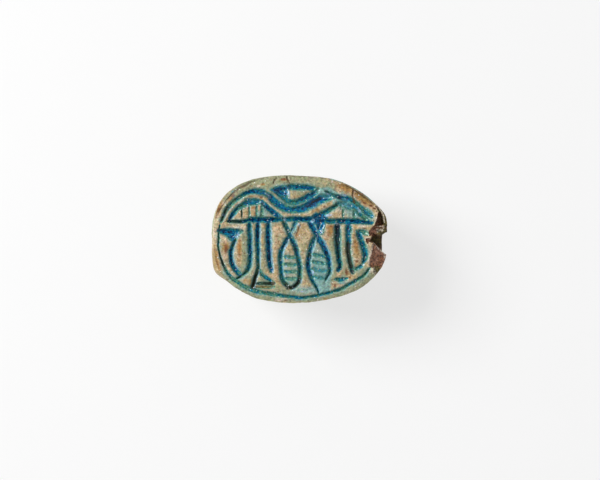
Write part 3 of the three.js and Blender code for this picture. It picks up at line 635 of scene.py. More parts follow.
def inside(x, y, corners):
    """Distance in from a closed outline, in mm, and below zero outside it."""
    ring = np.vstack((corners, corners[:1]))
    away = nearest(x, y, ring, np.zeros(len(ring)))[0]
    crossings = np.zeros(len(x), int)
    for start, end in zip(ring, ring[1:]):
        spans = (start[1] > y) != (end[1] > y)
        rise = end[1] - start[1] if end[1] != start[1] else 1e-9
        crossings += spans & (x < start[0] + (y - start[1]) * (end[0] - start[0]) / rise)
    return np.where(crossings % 2 == 1, away, -away)


def along_values(values, share):
    return np.interp(share, np.linspace(0.0, 1.0, len(values)), values)


def no_cut(count):
    return {name: np.zeros(count) for name in ("depth", *CUT_MARKS)}


def cut_lines(cut, x, y, lines):
    """Adds rounded V-cuts along lines in mm, with the glaze, dirt and painted shade that lie in them, and
    the painted highlight on one wall.
    """
    for line in lines:
        places, along = smooth_line(line.points)
        reach = max(max(line.width) * WORN_REACH, max(line.width) / 2 + HALO_REACH)
        low, high = places.min(axis=0) - reach, places.max(axis=0) + reach
        near = np.flatnonzero((x > low[0]) & (x < high[0]) & (y > low[1]) & (y < high[1]))
        if len(near) == 0:
            continue
        away, where, facing = nearest(x[near], y[near], places, along)
        share = where / along[-1]
        width = along_values(line.width, share)
        end = np.minimum(where, along[-1] - where) / width
        taper = mix(0.45, 1.0, smoothstep(0.0, 0.9, end))
        rounded = smoothstep(0.0, 1.0, 1.0 - away / (0.98 * width))
        worn = WORN_SHARE * (1.0 - np.clip(away / (WORN_REACH * width), 0.0, 1.0)) ** 2
        depth = CARVING_DEPTH * line.depth * taper * (rounded + worn) / (1.0 + WORN_SHARE)
        cut["depth"][near] = (cut["depth"][near] ** 4 + depth**4) ** 0.25
        hollow = np.clip(1.0 - away / (width * mix(0.75, 1.0, taper)), 0.0, 1.0)
        halo = taper * np.clip(1.0 - (away - width / 2) / HALO_REACH, 0.0, 1.0)
        halo = halo * min(1.0, max(line.width) / HALO_WIDTH)
        cut["halo"][near] = np.maximum(cut["halo"][near], halo)
        # A painted highlight on the wall that faces the window light, fading out where the line tapers
        far_wall = np.clip(1.0 - np.abs(away / width - 0.6) / 0.34, 0.0, 1.0) * smoothstep(0.1, 0.8, facing)
        crossed = cut["sheen"][near] * (away > 0.3 * width)
        cut["sheen"][near] = np.maximum(crossed, far_wall * taper * line.sheen)
        more = hollow > cut["hollow"][near]
        chosen = near[more]
        cut["hollow"][chosen] = hollow[more]
        cut["blue"][chosen] = along_values(line.blue, share)[more]
        # Dirt and painted shade along the line, laid on its deeper part by the material
        cut["dirt"][chosen] = along_values(line.dirt, share)[more]


def face_lines():
    """Every engraved line of the face, with its points in mm."""
    lines = [BORDER, GROUND._replace(sheen=0.0), *ARCHES, *FANS]
    lines += [line._replace(sheen=SWAG_PAINTED_SHEEN) for line in SWAGS]
    lines += [*STEMS, *DROPS]
    for rungs in RUNGS:
        for number in range(RUNG_COUNT):
            level = rungs.first - number * RUNG_PITCH
            ends = ((rungs.left, level), (rungs.right, level - rungs.drop))
            lines.append(Line(ends, (rungs.width,), RUNG_DEPTH, (rungs.blue,), (0.1,)))
    return [line._replace(points=to_mm(line.points)) for line in lines]


def cut_face(x, y):
    """What the engraver cut into the face at each place."""
    cut = no_cut(len(x))
    flat = np.column_stack((x, y, np.zeros(len(x))))
    x = x + 0.045 * lumps(flat, 0.6, 11) + 0.026 * lumps(flat, 0.2, 12)
    y = y + 0.045 * lumps(flat, 0.6, 13) + 0.026 * lumps(flat, 0.2, 14)
    cut_lines(cut, x, y, face_lines())
    cracks = no_cut(len(x))
    cut_lines(cracks, x, y, [line._replace(points=to_mm(line.points)) for line in CRACKS])
    cut["depth"] = np.maximum(cut["depth"], cracks["depth"])
    cut["crack"] = smoothstep(0.0, 0.7, cracks["hollow"]) * cracks["dirt"]
    for corners, depth, blue in SUNK:
        into = inside(x, y, to_mm(corners))
        cut["depth"] = np.maximum(cut["depth"], CARVING_DEPTH * depth * smoothstep(-0.12, 0.5, into))
        hollow = np.clip(0.5 + into / 0.36, 0.0, 1.0)
        more = hollow > cut["hollow"]
        cut["hollow"][more] = hollow[more]
        cut["blue"][more] = blue
        cut["dirt"][more] = 0.0
        cut["sheen"] *= 1.0 - smoothstep(-0.1, 0.1, into)
        cut["halo"] = np.maximum(cut["halo"], np.clip(1.0 + into / HALO_REACH, 0.0, 1.0))
    return cut


def cut_back(x, y):
    """The beetle's lines on the domed back."""
    cut = no_cut(len(x))
    lines = [Line(to_mm(points), *BACK_CUT) for points in BACK_LINES]
    cut_lines(cut, x, y, lines)
    return cut


def cut_flank(angle, depth):
    """The lines that part the legs on both flanks, laid out along the girth and the depth."""
    cut = no_cut(len(angle))
    level = Shape.flank_top + Shape.flank * LEG_SHARE
    for side in (1, -1):
        turns = np.radians(np.linspace(*LEG_TOP, LEG_STEPS)) * side
        top = np.column_stack((Shape.girth(turns), np.full(LEG_STEPS, level)))
        lines = [Line(top, *LEG_TOP_CUT)]
        for low, high in LEG_PARTS:
            ends = Shape.girth(np.radians((low, high)) * side)
            points = np.column_stack((ends, (Shape.flank_top, level)))
            lines.append(Line(points, *LEG_CUT))
        cut_lines(cut, Shape.girth(angle), depth, lines)
    return cut


def unevenness(places):
    """The hand-worked surface's lumps and dips, in mm."""
    broad = 0.035 * lumps(places, 1.6, 21) + 0.022 * lumps(places, 0.55, 22)
    return broad + 0.014 * lumps(places, 0.26, 23) + 0.009 * lumps(places, 0.15, 24)


def nibbles(places):
    """Small losses along worn edges, from 0 to 1."""
    broad = smoothstep(0.25, 0.75, lumps(places, 0.55, 31))
    return broad + 0.5 * smoothstep(0.2, 0.7, lumps(places, 0.24, 32))


def only(thing):
    """Selects one object alone and makes it the active one."""
    bpy.ops.object.select_all(action="DESELECT")
    thing.select_set(True)
    bpy.context.view_layer.objects.active = thing
    return thing


def extrude_boundary(rings, step):
    """Draws the open edge of the active mesh up or down, one step for each ring."""
    bpy.ops.object.mode_set(mode="EDIT")
    bpy.ops.mesh.select_mode(type="EDGE")
    bpy.ops.mesh.select_all(action="DESELECT")
    bpy.ops.mesh.select_non_manifold(extend=False)
    for _ in range(rings):
        bpy.ops.mesh.extrude_region_move(TRANSFORM_OT_translate={"value": (0.0, 0.0, step)})
    bpy.ops.object.mode_set(mode="OBJECT")


def read_points(thing):
    points = np.empty(len(thing.data.vertices) * 3)
    thing.data.vertices.foreach_get("co", points)
    return points.reshape(-1, 3)


def write_points(thing, points):
    thing.data.vertices.foreach_set("co", np.ascontiguousarray(points, float).ravel())
    thing.data.update()


def in_plan(grid, edge):
    """Spreads a square grid over the oval plan, so that its outer cells follow the edge."""
    x = grid[:, 0] * Shape.half_length
    y = grid[:, 1] * Shape.half_width
    share = np.abs(grid[:, :2]).max(axis=1)
    full = np.hypot(x, y) / np.maximum(share, 1e-9)
    return 1.0 - (1.0 - edge / np.maximum(full, 1e-9)) * share**FACE_EASE


def plan_angle(grid):
    return np.arctan2(grid[:, 1] * Shape.half_width, grid[:, 0] * Shape.half_length)


def worked_face():
    """The engraved face and the plinth's side down to the waist, as a grid whose edge is drawn down."""
    bpy.ops.mesh.primitive_grid_add(x_subdivisions=FACE_CELLS[0], y_subdivisions=FACE_CELLS[1], size=2.0)
    face = bpy.context.object
    extrude_boundary(len(PLINTH_RINGS), -1.0)
    grid = read_points(face)
    ring = np.rint(-grid[:, 2]).astype(int)
    angle = plan_angle(grid)
    depth = np.concatenate(((0.0,), PLINTH_RINGS))[ring] * (Shape.plinth + Shape.waist * PLINTH_SEAM)
    edge = Shape.radius(angle, depth)
    rim = np.column_stack((edge * np.cos(angle), edge * np.sin(angle), -depth))
    edge += unevenness(rim) - 0.05 * nibbles(rim) * (1.0 - smoothstep(0.1, 0.5, depth))
    shrink = in_plan(grid, edge)
    x = grid[:, 0] * Shape.half_length * shrink
    y = grid[:, 1] * Shape.half_width * shrink
    z = Shape.height - depth
    flat = ring == 0
    cut = cut_face(x[flat], y[flat])
    places = np.column_stack((x, y, z))[flat]
    from_rim = edge[flat] - np.hypot(x, y)[flat]
    rim_share = np.clip(from_rim / 0.5, 0.0, 1.0)
    rounding = 0.07 * (1.0 - rim_share) ** 2 + 0.1 * (1.0 - np.clip(from_rim / 1.1, 0.0, 1.0)) ** 2
    z[flat] -= cut["depth"] + rounding + 0.02
    z[flat] += unevenness(places) * mix(0.6, 1.0, rim_share)
    z[flat] -= 0.02 * smoothstep(0.35, 0.8, lumps(places, 0.26, 41)) * (1.0 - cut["hollow"])
    write_points(face, np.column_stack((x, y, z)))
    return face


def worked_back():
    """The beetle's domed back and its flanks up to the waist, as a grid whose edge is drawn up."""
    bpy.ops.mesh.primitive_grid_add(x_subdivisions=BACK_CELLS[0], y_subdivisions=BACK_CELLS[1], size=2.0)
    back = bpy.context.object
    extrude_boundary(FLANK_RINGS, 1.0)
    grid = read_points(back)
    ring = np.rint(grid[:, 2]).astype(int)
    angle = plan_angle(grid)
    share = np.abs(grid[:, :2]).max(axis=1)
    lean = math.acos(Shape.flat_share ** (DOME_ROUNDNESS / 2)) * (1.0 - share) / (1.0 - FLAT_CELLS)
    spread = np.cos(np.maximum(lean, 0.0)) ** (2 / DOME_ROUNDNESS)
    spread = np.where(share < FLAT_CELLS, Shape.flat_share * share / FLAT_CELLS, spread)
    stretch = spread / np.maximum(share, 1e-9)
    grid = grid * stretch[:, None]
    edge = Shape.radius(angle, np.full(len(angle), Shape.shoulder))
    shrink = in_plan(grid, edge)
    x = grid[:, 0] * Shape.half_length * shrink
    y = grid[:, 1] * Shape.half_width * shrink
    z = Shape.dome_level(x, y)
    lean_x = (Shape.dome_level(x + TINY, y) - Shape.dome_level(x - TINY, y)) / (2 * TINY)
    lean_y = (Shape.dome_level(x, y + TINY) - Shape.dome_level(x, y - TINY)) / (2 * TINY)
    out = np.column_stack((lean_x, lean_y, -np.ones(len(x))))
    out /= np.linalg.norm(out, axis=1)[:, None]
    places = np.column_stack((x, y, z))
    steady = smoothstep(0.0, 0.12, z)
    sink = cut_back(x, y)["depth"] - unevenness(places) * steady
    dome = places - out * sink[:, None]
    rise = ring / FLANK_RINGS
    depth = mix(Shape.shoulder, Shape.plinth + Shape.waist * FLANK_SEAM, rise)
    around = Shape.radius(angle, depth) - cut_flank(angle, depth)["depth"] * smoothstep(1.0, 0.8, rise)
    side = np.column_stack((around * np.cos(angle), around * np.sin(angle), Shape.height - depth))
    push = unevenness(side)
    side[:, 0] += push * np.cos(angle)
    side[:, 1] += push * np.sin(angle)
    on_side = ring > 0
    dome[on_side] = side[on_side]
    write_points(back, dome)
    return back


def joined_body():
    """The face and the back, bridged at the waist into one closed body."""
    back = worked_back()
    face = worked_face()
    only(face)
    back.select_set(True)
    bpy.ops.object.join()
    bpy.ops.object.mode_set(mode="EDIT")
    bpy.ops.mesh.select_mode(type="EDGE")
    bpy.ops.mesh.select_all(action="DESELECT")
    bpy.ops.mesh.select_non_manifold(extend=False)
    bpy.ops.mesh.bridge_edge_loops()
    bpy.ops.mesh.select_all(action="SELECT")
    bpy.ops.mesh.normals_make_consistent(inside=False)
    bpy.ops.object.mode_set(mode="OBJECT")
    return face


# The break's cutter: its corners in plan, its cells and its lid above the face in mm, and its walls' slope
BREAK_LOW = (6.0, -4.3)
BREAK_HIGH = (9.1, 4.3)
BREAK_CELL = 0.06
BREAK_LID = 0.6
BREAK_WALL = 11.0


def broken_depth(x, y):
    """How far the broken floors lie below the face, and above it where nothing is lost."""
    flat = np.column_stack((x, y, np.zeros(len(x))))
    ragged_x = x + 0.05 * lumps(flat, 0.4, 51) + 0.025 * lumps(flat, 0.15, 52)
    ragged_y = y + 0.05 * lumps(flat, 0.4, 53) + 0.025 * lumps(flat, 0.15, 54)
    grain = lumps(flat, 0.42, 55) + 0.6 * lumps(flat, 0.2, 56) + 0.35 * lumps(flat, 0.1, 57)
    depth = np.full(len(x), -0.3)
    for floor in BROKEN:
        corners = to_mm(floor.corners)
        first = corners[:, 0].min()
        share = np.clip((x - first) / (Shape.half_length - first), 0.0, 1.1)
        level = mix(floor.near, floor.far, share) + floor.rough * grain
        level += BREAK_WALL * np.minimum(inside(ragged_x, ragged_y, corners), 0.0)
        depth = np.maximum(depth, level)
    return depth


def break_cutter():
    """The space that the broken places leave, from their floors to above the face."""
    size = np.subtract(BREAK_HIGH, BREAK_LOW)
    cells = np.rint(size / BREAK_CELL).astype(int)
    bpy.ops.mesh.primitive_grid_add(x_subdivisions=int(cells[0]), y_subdivisions=int(cells[1]), size=1.0)
    cutter = bpy.context.object
    bpy.ops.object.mode_set(mode="EDIT")
    bpy.ops.mesh.select_mode(type="FACE")
    bpy.ops.mesh.select_all(action="SELECT")
    bpy.ops.mesh.extrude_region_move(TRANSFORM_OT_translate={"value": (0.0, 0.0, 1.0)})
    bpy.ops.object.mode_set(mode="OBJECT")
    points = read_points(cutter)
    lid = points[:, 2] > 0.5
    points[:, :2] = np.array(BREAK_LOW) + (points[:, :2] + 0.5) * size
    points[:, 2] = Shape.height - broken_depth(points[:, 0], points[:, 1])
    points[lid, 2] = Shape.height + BREAK_LID
    write_points(cutter, points)
    return outward(cutter)


def bore_cutter():
    """The string bore, drilled through the length by hand, a little uneven and worn wider at its mouths."""
    bpy.ops.mesh.primitive_circle_add(vertices=BORE_SIDES, radius=1.0, fill_type="NGON")
    cutter = bpy.context.object
    bpy.ops.object.mode_set(mode="EDIT")
    bpy.ops.mesh.select_mode(type="FACE")
    bpy.ops.mesh.select_all(action="SELECT")
    for _ in range(BORE_RINGS):
        bpy.ops.mesh.extrude_region_move(TRANSFORM_OT_translate={"value": (0.0, 0.0, 1.0)})
    bpy.ops.object.mode_set(mode="OBJECT")
    points = read_points(cutter)
    along = (points[:, 2] / BORE_RINGS - 0.5) * 2.0
    x = along * (Shape.half_length + BORE_OVERRUN)
    mouth = np.exp(-np.maximum(0.0, Shape.half_length - 0.25 - np.abs(x)) / 0.3)
    radius = Shape.bore_radius * mix(1.0, 1.1, mouth)
    y = Shape.bore_offset + points[:, 0] * radius
    middle = Shape.bore_level(x)
    z = middle + points[:, 1] * radius
    rough = 1.0 + 0.05 * lumps(np.column_stack((x, y, z)), 0.8, 61)
    y = Shape.bore_offset + points[:, 0] * radius * rough
    z = middle + points[:, 1] * radius * rough
    write_points(cutter, np.column_stack((x, y, z)))
    return outward(cutter)


def outward(thing):
    """Turns all faces of one object outwards."""
    only(thing)
    bpy.ops.object.mode_set(mode="EDIT")
    bpy.ops.mesh.select_all(action="SELECT")
    bpy.ops.mesh.normals_make_consistent(inside=False)
    bpy.ops.object.mode_set(mode="OBJECT")
    return thing


def cut_away(body, cutter, material):
    """Takes the cutter out of the body, and gives the new surface the cutter's material."""
    cutter.data.materials.append(material)
    only(body)
    difference = body.modifiers.new("Lost stone", "BOOLEAN")
    difference.operation = "DIFFERENCE"
    difference.solver = "EXACT"
    difference.material_mode = "TRANSFER"
    difference.object = cutter
    bpy.ops.object.modifier_apply(modifier=difference.name)
    bpy.data.meshes.remove(cutter.data)


def patch_strength(x, y, patches):
    """How strongly a colour lies at each place."""
    strength = np.zeros(len(x))
    for patch in patches:
        centre = to_mm((patch.u, patch.v))
        turn = math.radians(patch.turn)
        dx, dy = x - centre[0], y - centre[1]
        along = (dx * math.cos(turn) + dy * math.sin(turn)) / patch.wide
        across = (dy * math.cos(turn) - dx * math.sin(turn)) / patch.high
        strength = np.maximum(strength, patch.amount * np.exp(-(along**2 + across**2)))
    return strength


def mark_surface(body):
    """Writes the marks that the materials read: glaze pooled in hollows, its tone, dirt with painted shade,
    painted highlights and stains.
    """
    points = read_points(body)
    x, y, z = points.T
    depth = Shape.height - z
    angle = np.arctan2(y, x)
    on_face = depth < FACE_REACH
    marks = {name: np.zeros(len(points)) for name in MARKS}
    cut = cut_face(x[on_face], y[on_face])
    for name in CUT_MARKS:
        marks[name][on_face] = cut[name]
    face_dirt_and_shade = marks["dirt"]
    for name, patches in PATCHES.items():
        deepest = Shape.shoulder if name == "mustard" else Shape.plinth
        marks[name] = patch_strength(x, y, patches) * (depth < deepest)
    for name, bands in (("film", FILM_BANDS), ("wash", WASH_BANDS)):
        laid = no_cut(len(points))
        cut_lines(laid, x, y, [band._replace(points=to_mm(band.points)) for band in bands])
        laid = smoothstep(0.0, 0.6, laid["hollow"]) * laid["blue"] * (depth < Shape.plinth)
        marks[name] = np.maximum(marks[name], laid)
    marks["film"] = np.maximum(marks["film"], patch_strength(x, y, OLIVE) * (depth < Shape.shoulder))
    # Dark dirt with painted shade in the hollows of the broken places
    marks["dirt"] = np.maximum(face_dirt_and_shade, patch_strength(x, y, BREAK_DIRT_AND_SHADE))
    pale = no_cut(len(points))
    cut_lines(pale, x, y, [line._replace(points=to_mm(line.points)) for line in PALE_EDGES])
    marks["pale"] = np.maximum(marks["pale"], pale["hollow"] * (depth < PALE_REACH))
    on_back = depth > Shape.shoulder - 0.2
    cut = cut_back(x[on_back], y[on_back])
    for name in CUT_MARKS:
        marks[name][on_back] = cut[name]
    on_flank = (depth > Shape.plinth) & (depth < Shape.shoulder + 0.5)
    cut = cut_flank(angle[on_flank], depth[on_flank])
    for name in CUT_MARKS:
        marks[name][on_flank] = np.maximum(marks[name][on_flank], cut[name])
    waist = 1.0 - np.clip(np.abs(depth - Shape.plinth - Shape.waist * 0.55) / (Shape.waist * 0.9), 0.0, 1.0)
    waist *= 1.0 - np.clip(bumps_at(angle, BARE_WAIST), 0.0, 1.0)
    marks["hollow"] = np.maximum(marks["hollow"], waist * 0.9)
    marks["blue"] = np.maximum(marks["blue"], waist * 0.6)
    # Darker in the deepest part of the waist groove
    marks["dirt"] = np.maximum(marks["dirt"], smoothstep(0.3, 1.0, waist) * 0.8)
    beetle = smoothstep(Shape.plinth, Shape.flank_top, depth)
    marks["film"] = np.maximum(marks["film"], beetle * (0.45 + 0.4 * lumps(points, 2.2, 71)))
    # Darker on the wall of the bore
    from_bore = np.hypot(y - Shape.bore_offset, z - Shape.bore_level(x)) - Shape.bore_radius
    marks["dirt"] = np.maximum(marks["dirt"], smoothstep(0.12, 0.0, from_bore))
    for name, values in marks.items():
        layer = body.data.attributes.new(name, "FLOAT", "POINT")
        layer.data.foreach_set("value", np.clip(values, 0.0, 1.0))


def add_node(tree, kind, inputs=None, **settings):
    """Adds a node, sets its options, and fills its inputs with values or with other nodes' outputs."""
    made = tree.nodes.new(kind)
    made.location = (190 * (len(tree.nodes) % 9), -260 * (len(tree.nodes) // 9))
    for name, value in settings.items():
        setattr(made, name, value)
    for key, value in (inputs or {}).items():
        if isinstance(value, bpy.types.NodeSocket):
            tree.links.new(value, made.inputs[key])
        else:
            made.inputs[key].default_value = value
    return made


def math_of(tree, operation, first, second=0.0):
    return add_node(tree, "ShaderNodeMath", {0: first, 1: second}, operation=operation).outputs[0]


def ease(tree, value, low, high):
    """Runs smoothly from 0 at low to 1 at high."""
    inputs = {"Value": value, "From Min": low, "From Max": high}
    return add_node(tree, "ShaderNodeMapRange", inputs, interpolation_type="SMOOTHSTEP").outputs[0]


def product(tree, first, second):
    return math_of(tree, "MULTIPLY", first, second)


def vector_of(tree, operation, first, second):
    return add_node(tree, "ShaderNodeVectorMath", {0: first, 1: second}, operation=operation).outputs[0]


def scaled(tree, vector, scale):
    return add_node(tree, "ShaderNodeVectorMath", {0: vector, "Scale": scale}, operation="SCALE").outputs[0]


def blend(tree, share, first, second):
    """Mixes two colours."""
    return add_node(tree, "ShaderNodeMix", {0: share, 6: first, 7: second}, data_type="RGBA").outputs[2]


def blend_value(tree, share, first, second):
    return add_node(tree, "ShaderNodeMix", {0: share, 2: first, 3: second}).outputs[0]


def noise(tree, where, size, detail=2.0, rough=0.5, twist=0.0):
    """Noise whose features are about size mm across."""
    inputs = {"Vector": where, "Scale": 1.0 / size, "Detail": detail, "Roughness": rough}
    return add_node(tree, "ShaderNodeTexNoise", {**inputs, "Distortion": twist}).outputs["Fac"]


def in_millimetres(tree):
    """The object's own coordinates, in mm."""
    where = add_node(tree, "ShaderNodeTexCoord").outputs["Object"]
    return vector_of(tree, "MULTIPLY", where, (1 / MM,) * 3)


def mark(tree, name):
    return add_node(tree, "ShaderNodeAttribute", attribute_name=name).outputs["Fac"]


def new_group(name, inputs, outputs):
    """A shader node group with named inputs and outputs."""
    tree = bpy.data.node_groups.new(name, "ShaderNodeTree")
    for title, kind, default in inputs:
        socket = tree.interface.new_socket(title, in_out="INPUT", socket_type="NodeSocket" + kind)
        socket.default_value = default
    for title, kind in outputs:
        tree.interface.new_socket(title, in_out="OUTPUT", socket_type="NodeSocket" + kind)
    return tree, add_node(tree, "NodeGroupInput").outputs, add_node(tree, "NodeGroupOutput").inputs


def stone_grain_group():
    """Mottled fine-grained steatite: its colour, and the height of its grain."""
    tree, given, taken = new_group(
        "Stone Grain",
        (("Light", "Color", (1, 1, 1, 1)), ("Middle", "Color", (0.5, 0.5, 0.5, 1)),
         ("Dark", "Color", (0, 0, 0, 1)),
         ("Mottle Size", "Float", 0.8)),
        (("Color", "Color"), ("Height", "Float")),
    )
    where = in_millimetres(tree)
    sized = scaled(tree, where, math_of(tree, "DIVIDE", 0.8, given["Mottle Size"]))
    broad = noise(tree, sized, 0.9, 3.0, 0.6, 0.4)
    close = noise(tree, sized, 0.24, 3.0, 0.65, 0.2)
    fine = noise(tree, where, 0.13, 3.0, 0.7)
    colour = blend(tree, ease(tree, broad, 0.38, 0.62), given["Middle"], given["Light"])
    colour = blend(tree, product(tree, ease(tree, close, 0.5, 0.64), 0.85), colour, given["Dark"])
    shade = blend_value(tree, fine, 0.7, 1.26)
    tree.links.new(scaled(tree, colour, shade), taken["Color"])
    grains = math_of(tree, "ADD", product(tree, fine, 0.4), product(tree, close, 0.6))
    tree.links.new(grains, taken["Height"])
    return tree


def mottling_group():
    """Fine uneven tints and shades over any colour, as small as the grains."""
    tree, given, taken = new_group(
        "Fine Mottling",
        (("Color", "Color", (0.5, 0.5, 0.5, 1)), ("Tint", "Float", 1.0), ("Shade", "Float", 3.0)),
        (("Color", "Color"),),
    )
    where = in_millimetres(tree)
    inputs = {"Vector": where, "Scale": 5.0, "Detail": 4.0, "Roughness": 0.75}
    tints = add_node(tree, "ShaderNodeTexNoise", inputs).outputs["Color"]
    least = math_of(tree, "SUBTRACT", 1.0, product(tree, given["Tint"], 0.5))
    inputs = {0: tints, 1: given["Tint"], 2: least}
    tint = add_node(tree, "ShaderNodeVectorMath", inputs, operation="MULTIPLY_ADD").outputs[0]
    fine = math_of(tree, "SUBTRACT", noise(tree, where, 0.22, 4.0, 0.8), 0.5)
    shade = math_of(tree, "ADD", product(tree, fine, given["Shade"]), 1.0)
    shade = math_of(tree, "MINIMUM", math_of(tree, "MAXIMUM", shade, 0.25), 1.9)
    tree.links.new(vector_of(tree, "MULTIPLY", given["Color"], scaled(tree, tint, shade)), taken["Color"])
    return tree


def broken_up_group():
    """A mark with a soft edge, broken up by noise into a mask with a ragged one."""
    tree, given, taken = new_group(
        "Broken Up",
        (("Mark", "Float", 0.0), ("Patch Size", "Float", 0.3), ("Amount", "Float", 0.5),
         ("Level", "Float", 0.45),
         ("Softness", "Float", 0.15)),
        (("Mask", "Float"),),
    )
    where = in_millimetres(tree)
    sized = scaled(tree, where, math_of(tree, "DIVIDE", 1.0, given["Patch Size"]))
    lumpy = noise(tree, sized, 1.0, 3.0)
    swing = product(tree, math_of(tree, "SUBTRACT", lumpy, 0.5), given["Amount"])
    total = math_of(tree, "ADD", given["Mark"], swing)
    low = math_of(tree, "SUBTRACT", given["Level"], given["Softness"])
    high = math_of(tree, "ADD", given["Level"], given["Softness"])
    tree.links.new(ease(tree, total, low, high), taken["Mask"])
    return tree


def spots_group():
    """Fine crackle in the glaze, dark pits, and bright specks used as painted glints, each as a mask."""
    tree, given, taken = new_group(
        "Crackle And Specks",
        (("Dark Size", "Float", 0.11), ("Light Size", "Float", 0.6)),
        (("Cracks", "Float"), ("Pits", "Float"), ("Specks", "Float")),
    )
    where = in_millimetres(tree)
    inputs = {"Vector": where, "Scale": 1.6, "Detail": 3.0}
    bend = scaled(tree, add_node(tree, "ShaderNodeTexNoise", inputs).outputs["Color"], 0.7)
    inputs = {"Vector": vector_of(tree, "ADD", where, bend), "Scale": 0.75}
    net = add_node(tree, "ShaderNodeTexVoronoi", inputs, feature="DISTANCE_TO_EDGE")
    line = math_of(tree, "SUBTRACT", 1.0, ease(tree, net.outputs["Distance"], 0.004, 0.03))
    some = ease(tree, noise(tree, where, 1.3, 2.0), 0.48, 0.6)
    tree.links.new(product(tree, line, some), taken["Cracks"])
    sized = scaled(tree, where, math_of(tree, "DIVIDE", 1.0, given["Dark Size"]))
    tree.links.new(ease(tree, noise(tree, sized, 1.0), 0.62, 0.72), taken["Pits"])
    sized = scaled(tree, where, math_of(tree, "DIVIDE", 1.0, given["Light Size"]))
    cells = add_node(tree, "ShaderNodeTexVoronoi", {"Vector": sized, "Scale": 1.0})
    near = math_of(tree, "SUBTRACT", 1.0, ease(tree, cells.outputs["Distance"], 0.08, 0.2))
    chosen = add_node(tree, "ShaderNodeSeparateColor", {0: cells.outputs["Color"]}).outputs[0]
    tree.links.new(product(tree, near, ease(tree, chosen, 0.6, 0.7)), taken["Specks"])
    return tree


def use_group(tree, group, inputs):
    return add_node(tree, "ShaderNodeGroup", inputs, node_tree=group).outputs


def ragged(tree, group, soft_mark, size, amount, level, softness):
    """A mark broken up into a mask with a ragged edge."""
    inputs = {"Mark": soft_mark, "Patch Size": size, "Amount": amount, "Level": level, "Softness": softness}
    return use_group(tree, group, inputs)["Mask"]


def colour_of(shade):
    """A property's screen colour as a linear colour for a node."""
    linear = [part / 12.92 if part <= 0.04045 else ((part + 0.055) / 1.055) ** 2.4 for part in shade]
    return (*linear, 1.0)


def grained(tree, group, light, middle, dark, size):
    """The stone grain in three colours, with mottles about size mm across."""
    inputs = {"Light": colour_of(light), "Middle": colour_of(middle), "Dark": colour_of(dark)}
    return use_group(tree, group, {**inputs, "Mottle Size": size})


def new_material(name):
    material = bpy.data.materials.new(name)
    material.use_nodes = True
    tree = material.node_tree
    tree.nodes.clear()
    surface = add_node(tree, "ShaderNodeBsdfPrincipled")
    out = add_node(tree, "ShaderNodeOutputMaterial")
    tree.links.new(surface.outputs[0], out.inputs[0])
    return material, tree, surface


def glaze_tone(tree, tone, colours):
    """Glaze from thin pale teal at 0 through blue to thick near-black at 1."""
    ramp = add_node(tree, "ShaderNodeValToRGB", {0: tone})
    stops = ramp.color_ramp.elements
    shades = (colours.thin_glaze, colours.teal, colours.blue, colours.deep_blue, colours.navy)
    while len(stops) < len(shades):
        stops.new(0.5)
    for stop, place, shade in zip(stops, (0.0, 0.33, 0.58, 0.78, 1.0), shades):
        stop.position = place
        stop.color = colour_of(shade)
    return ramp.outputs[0]


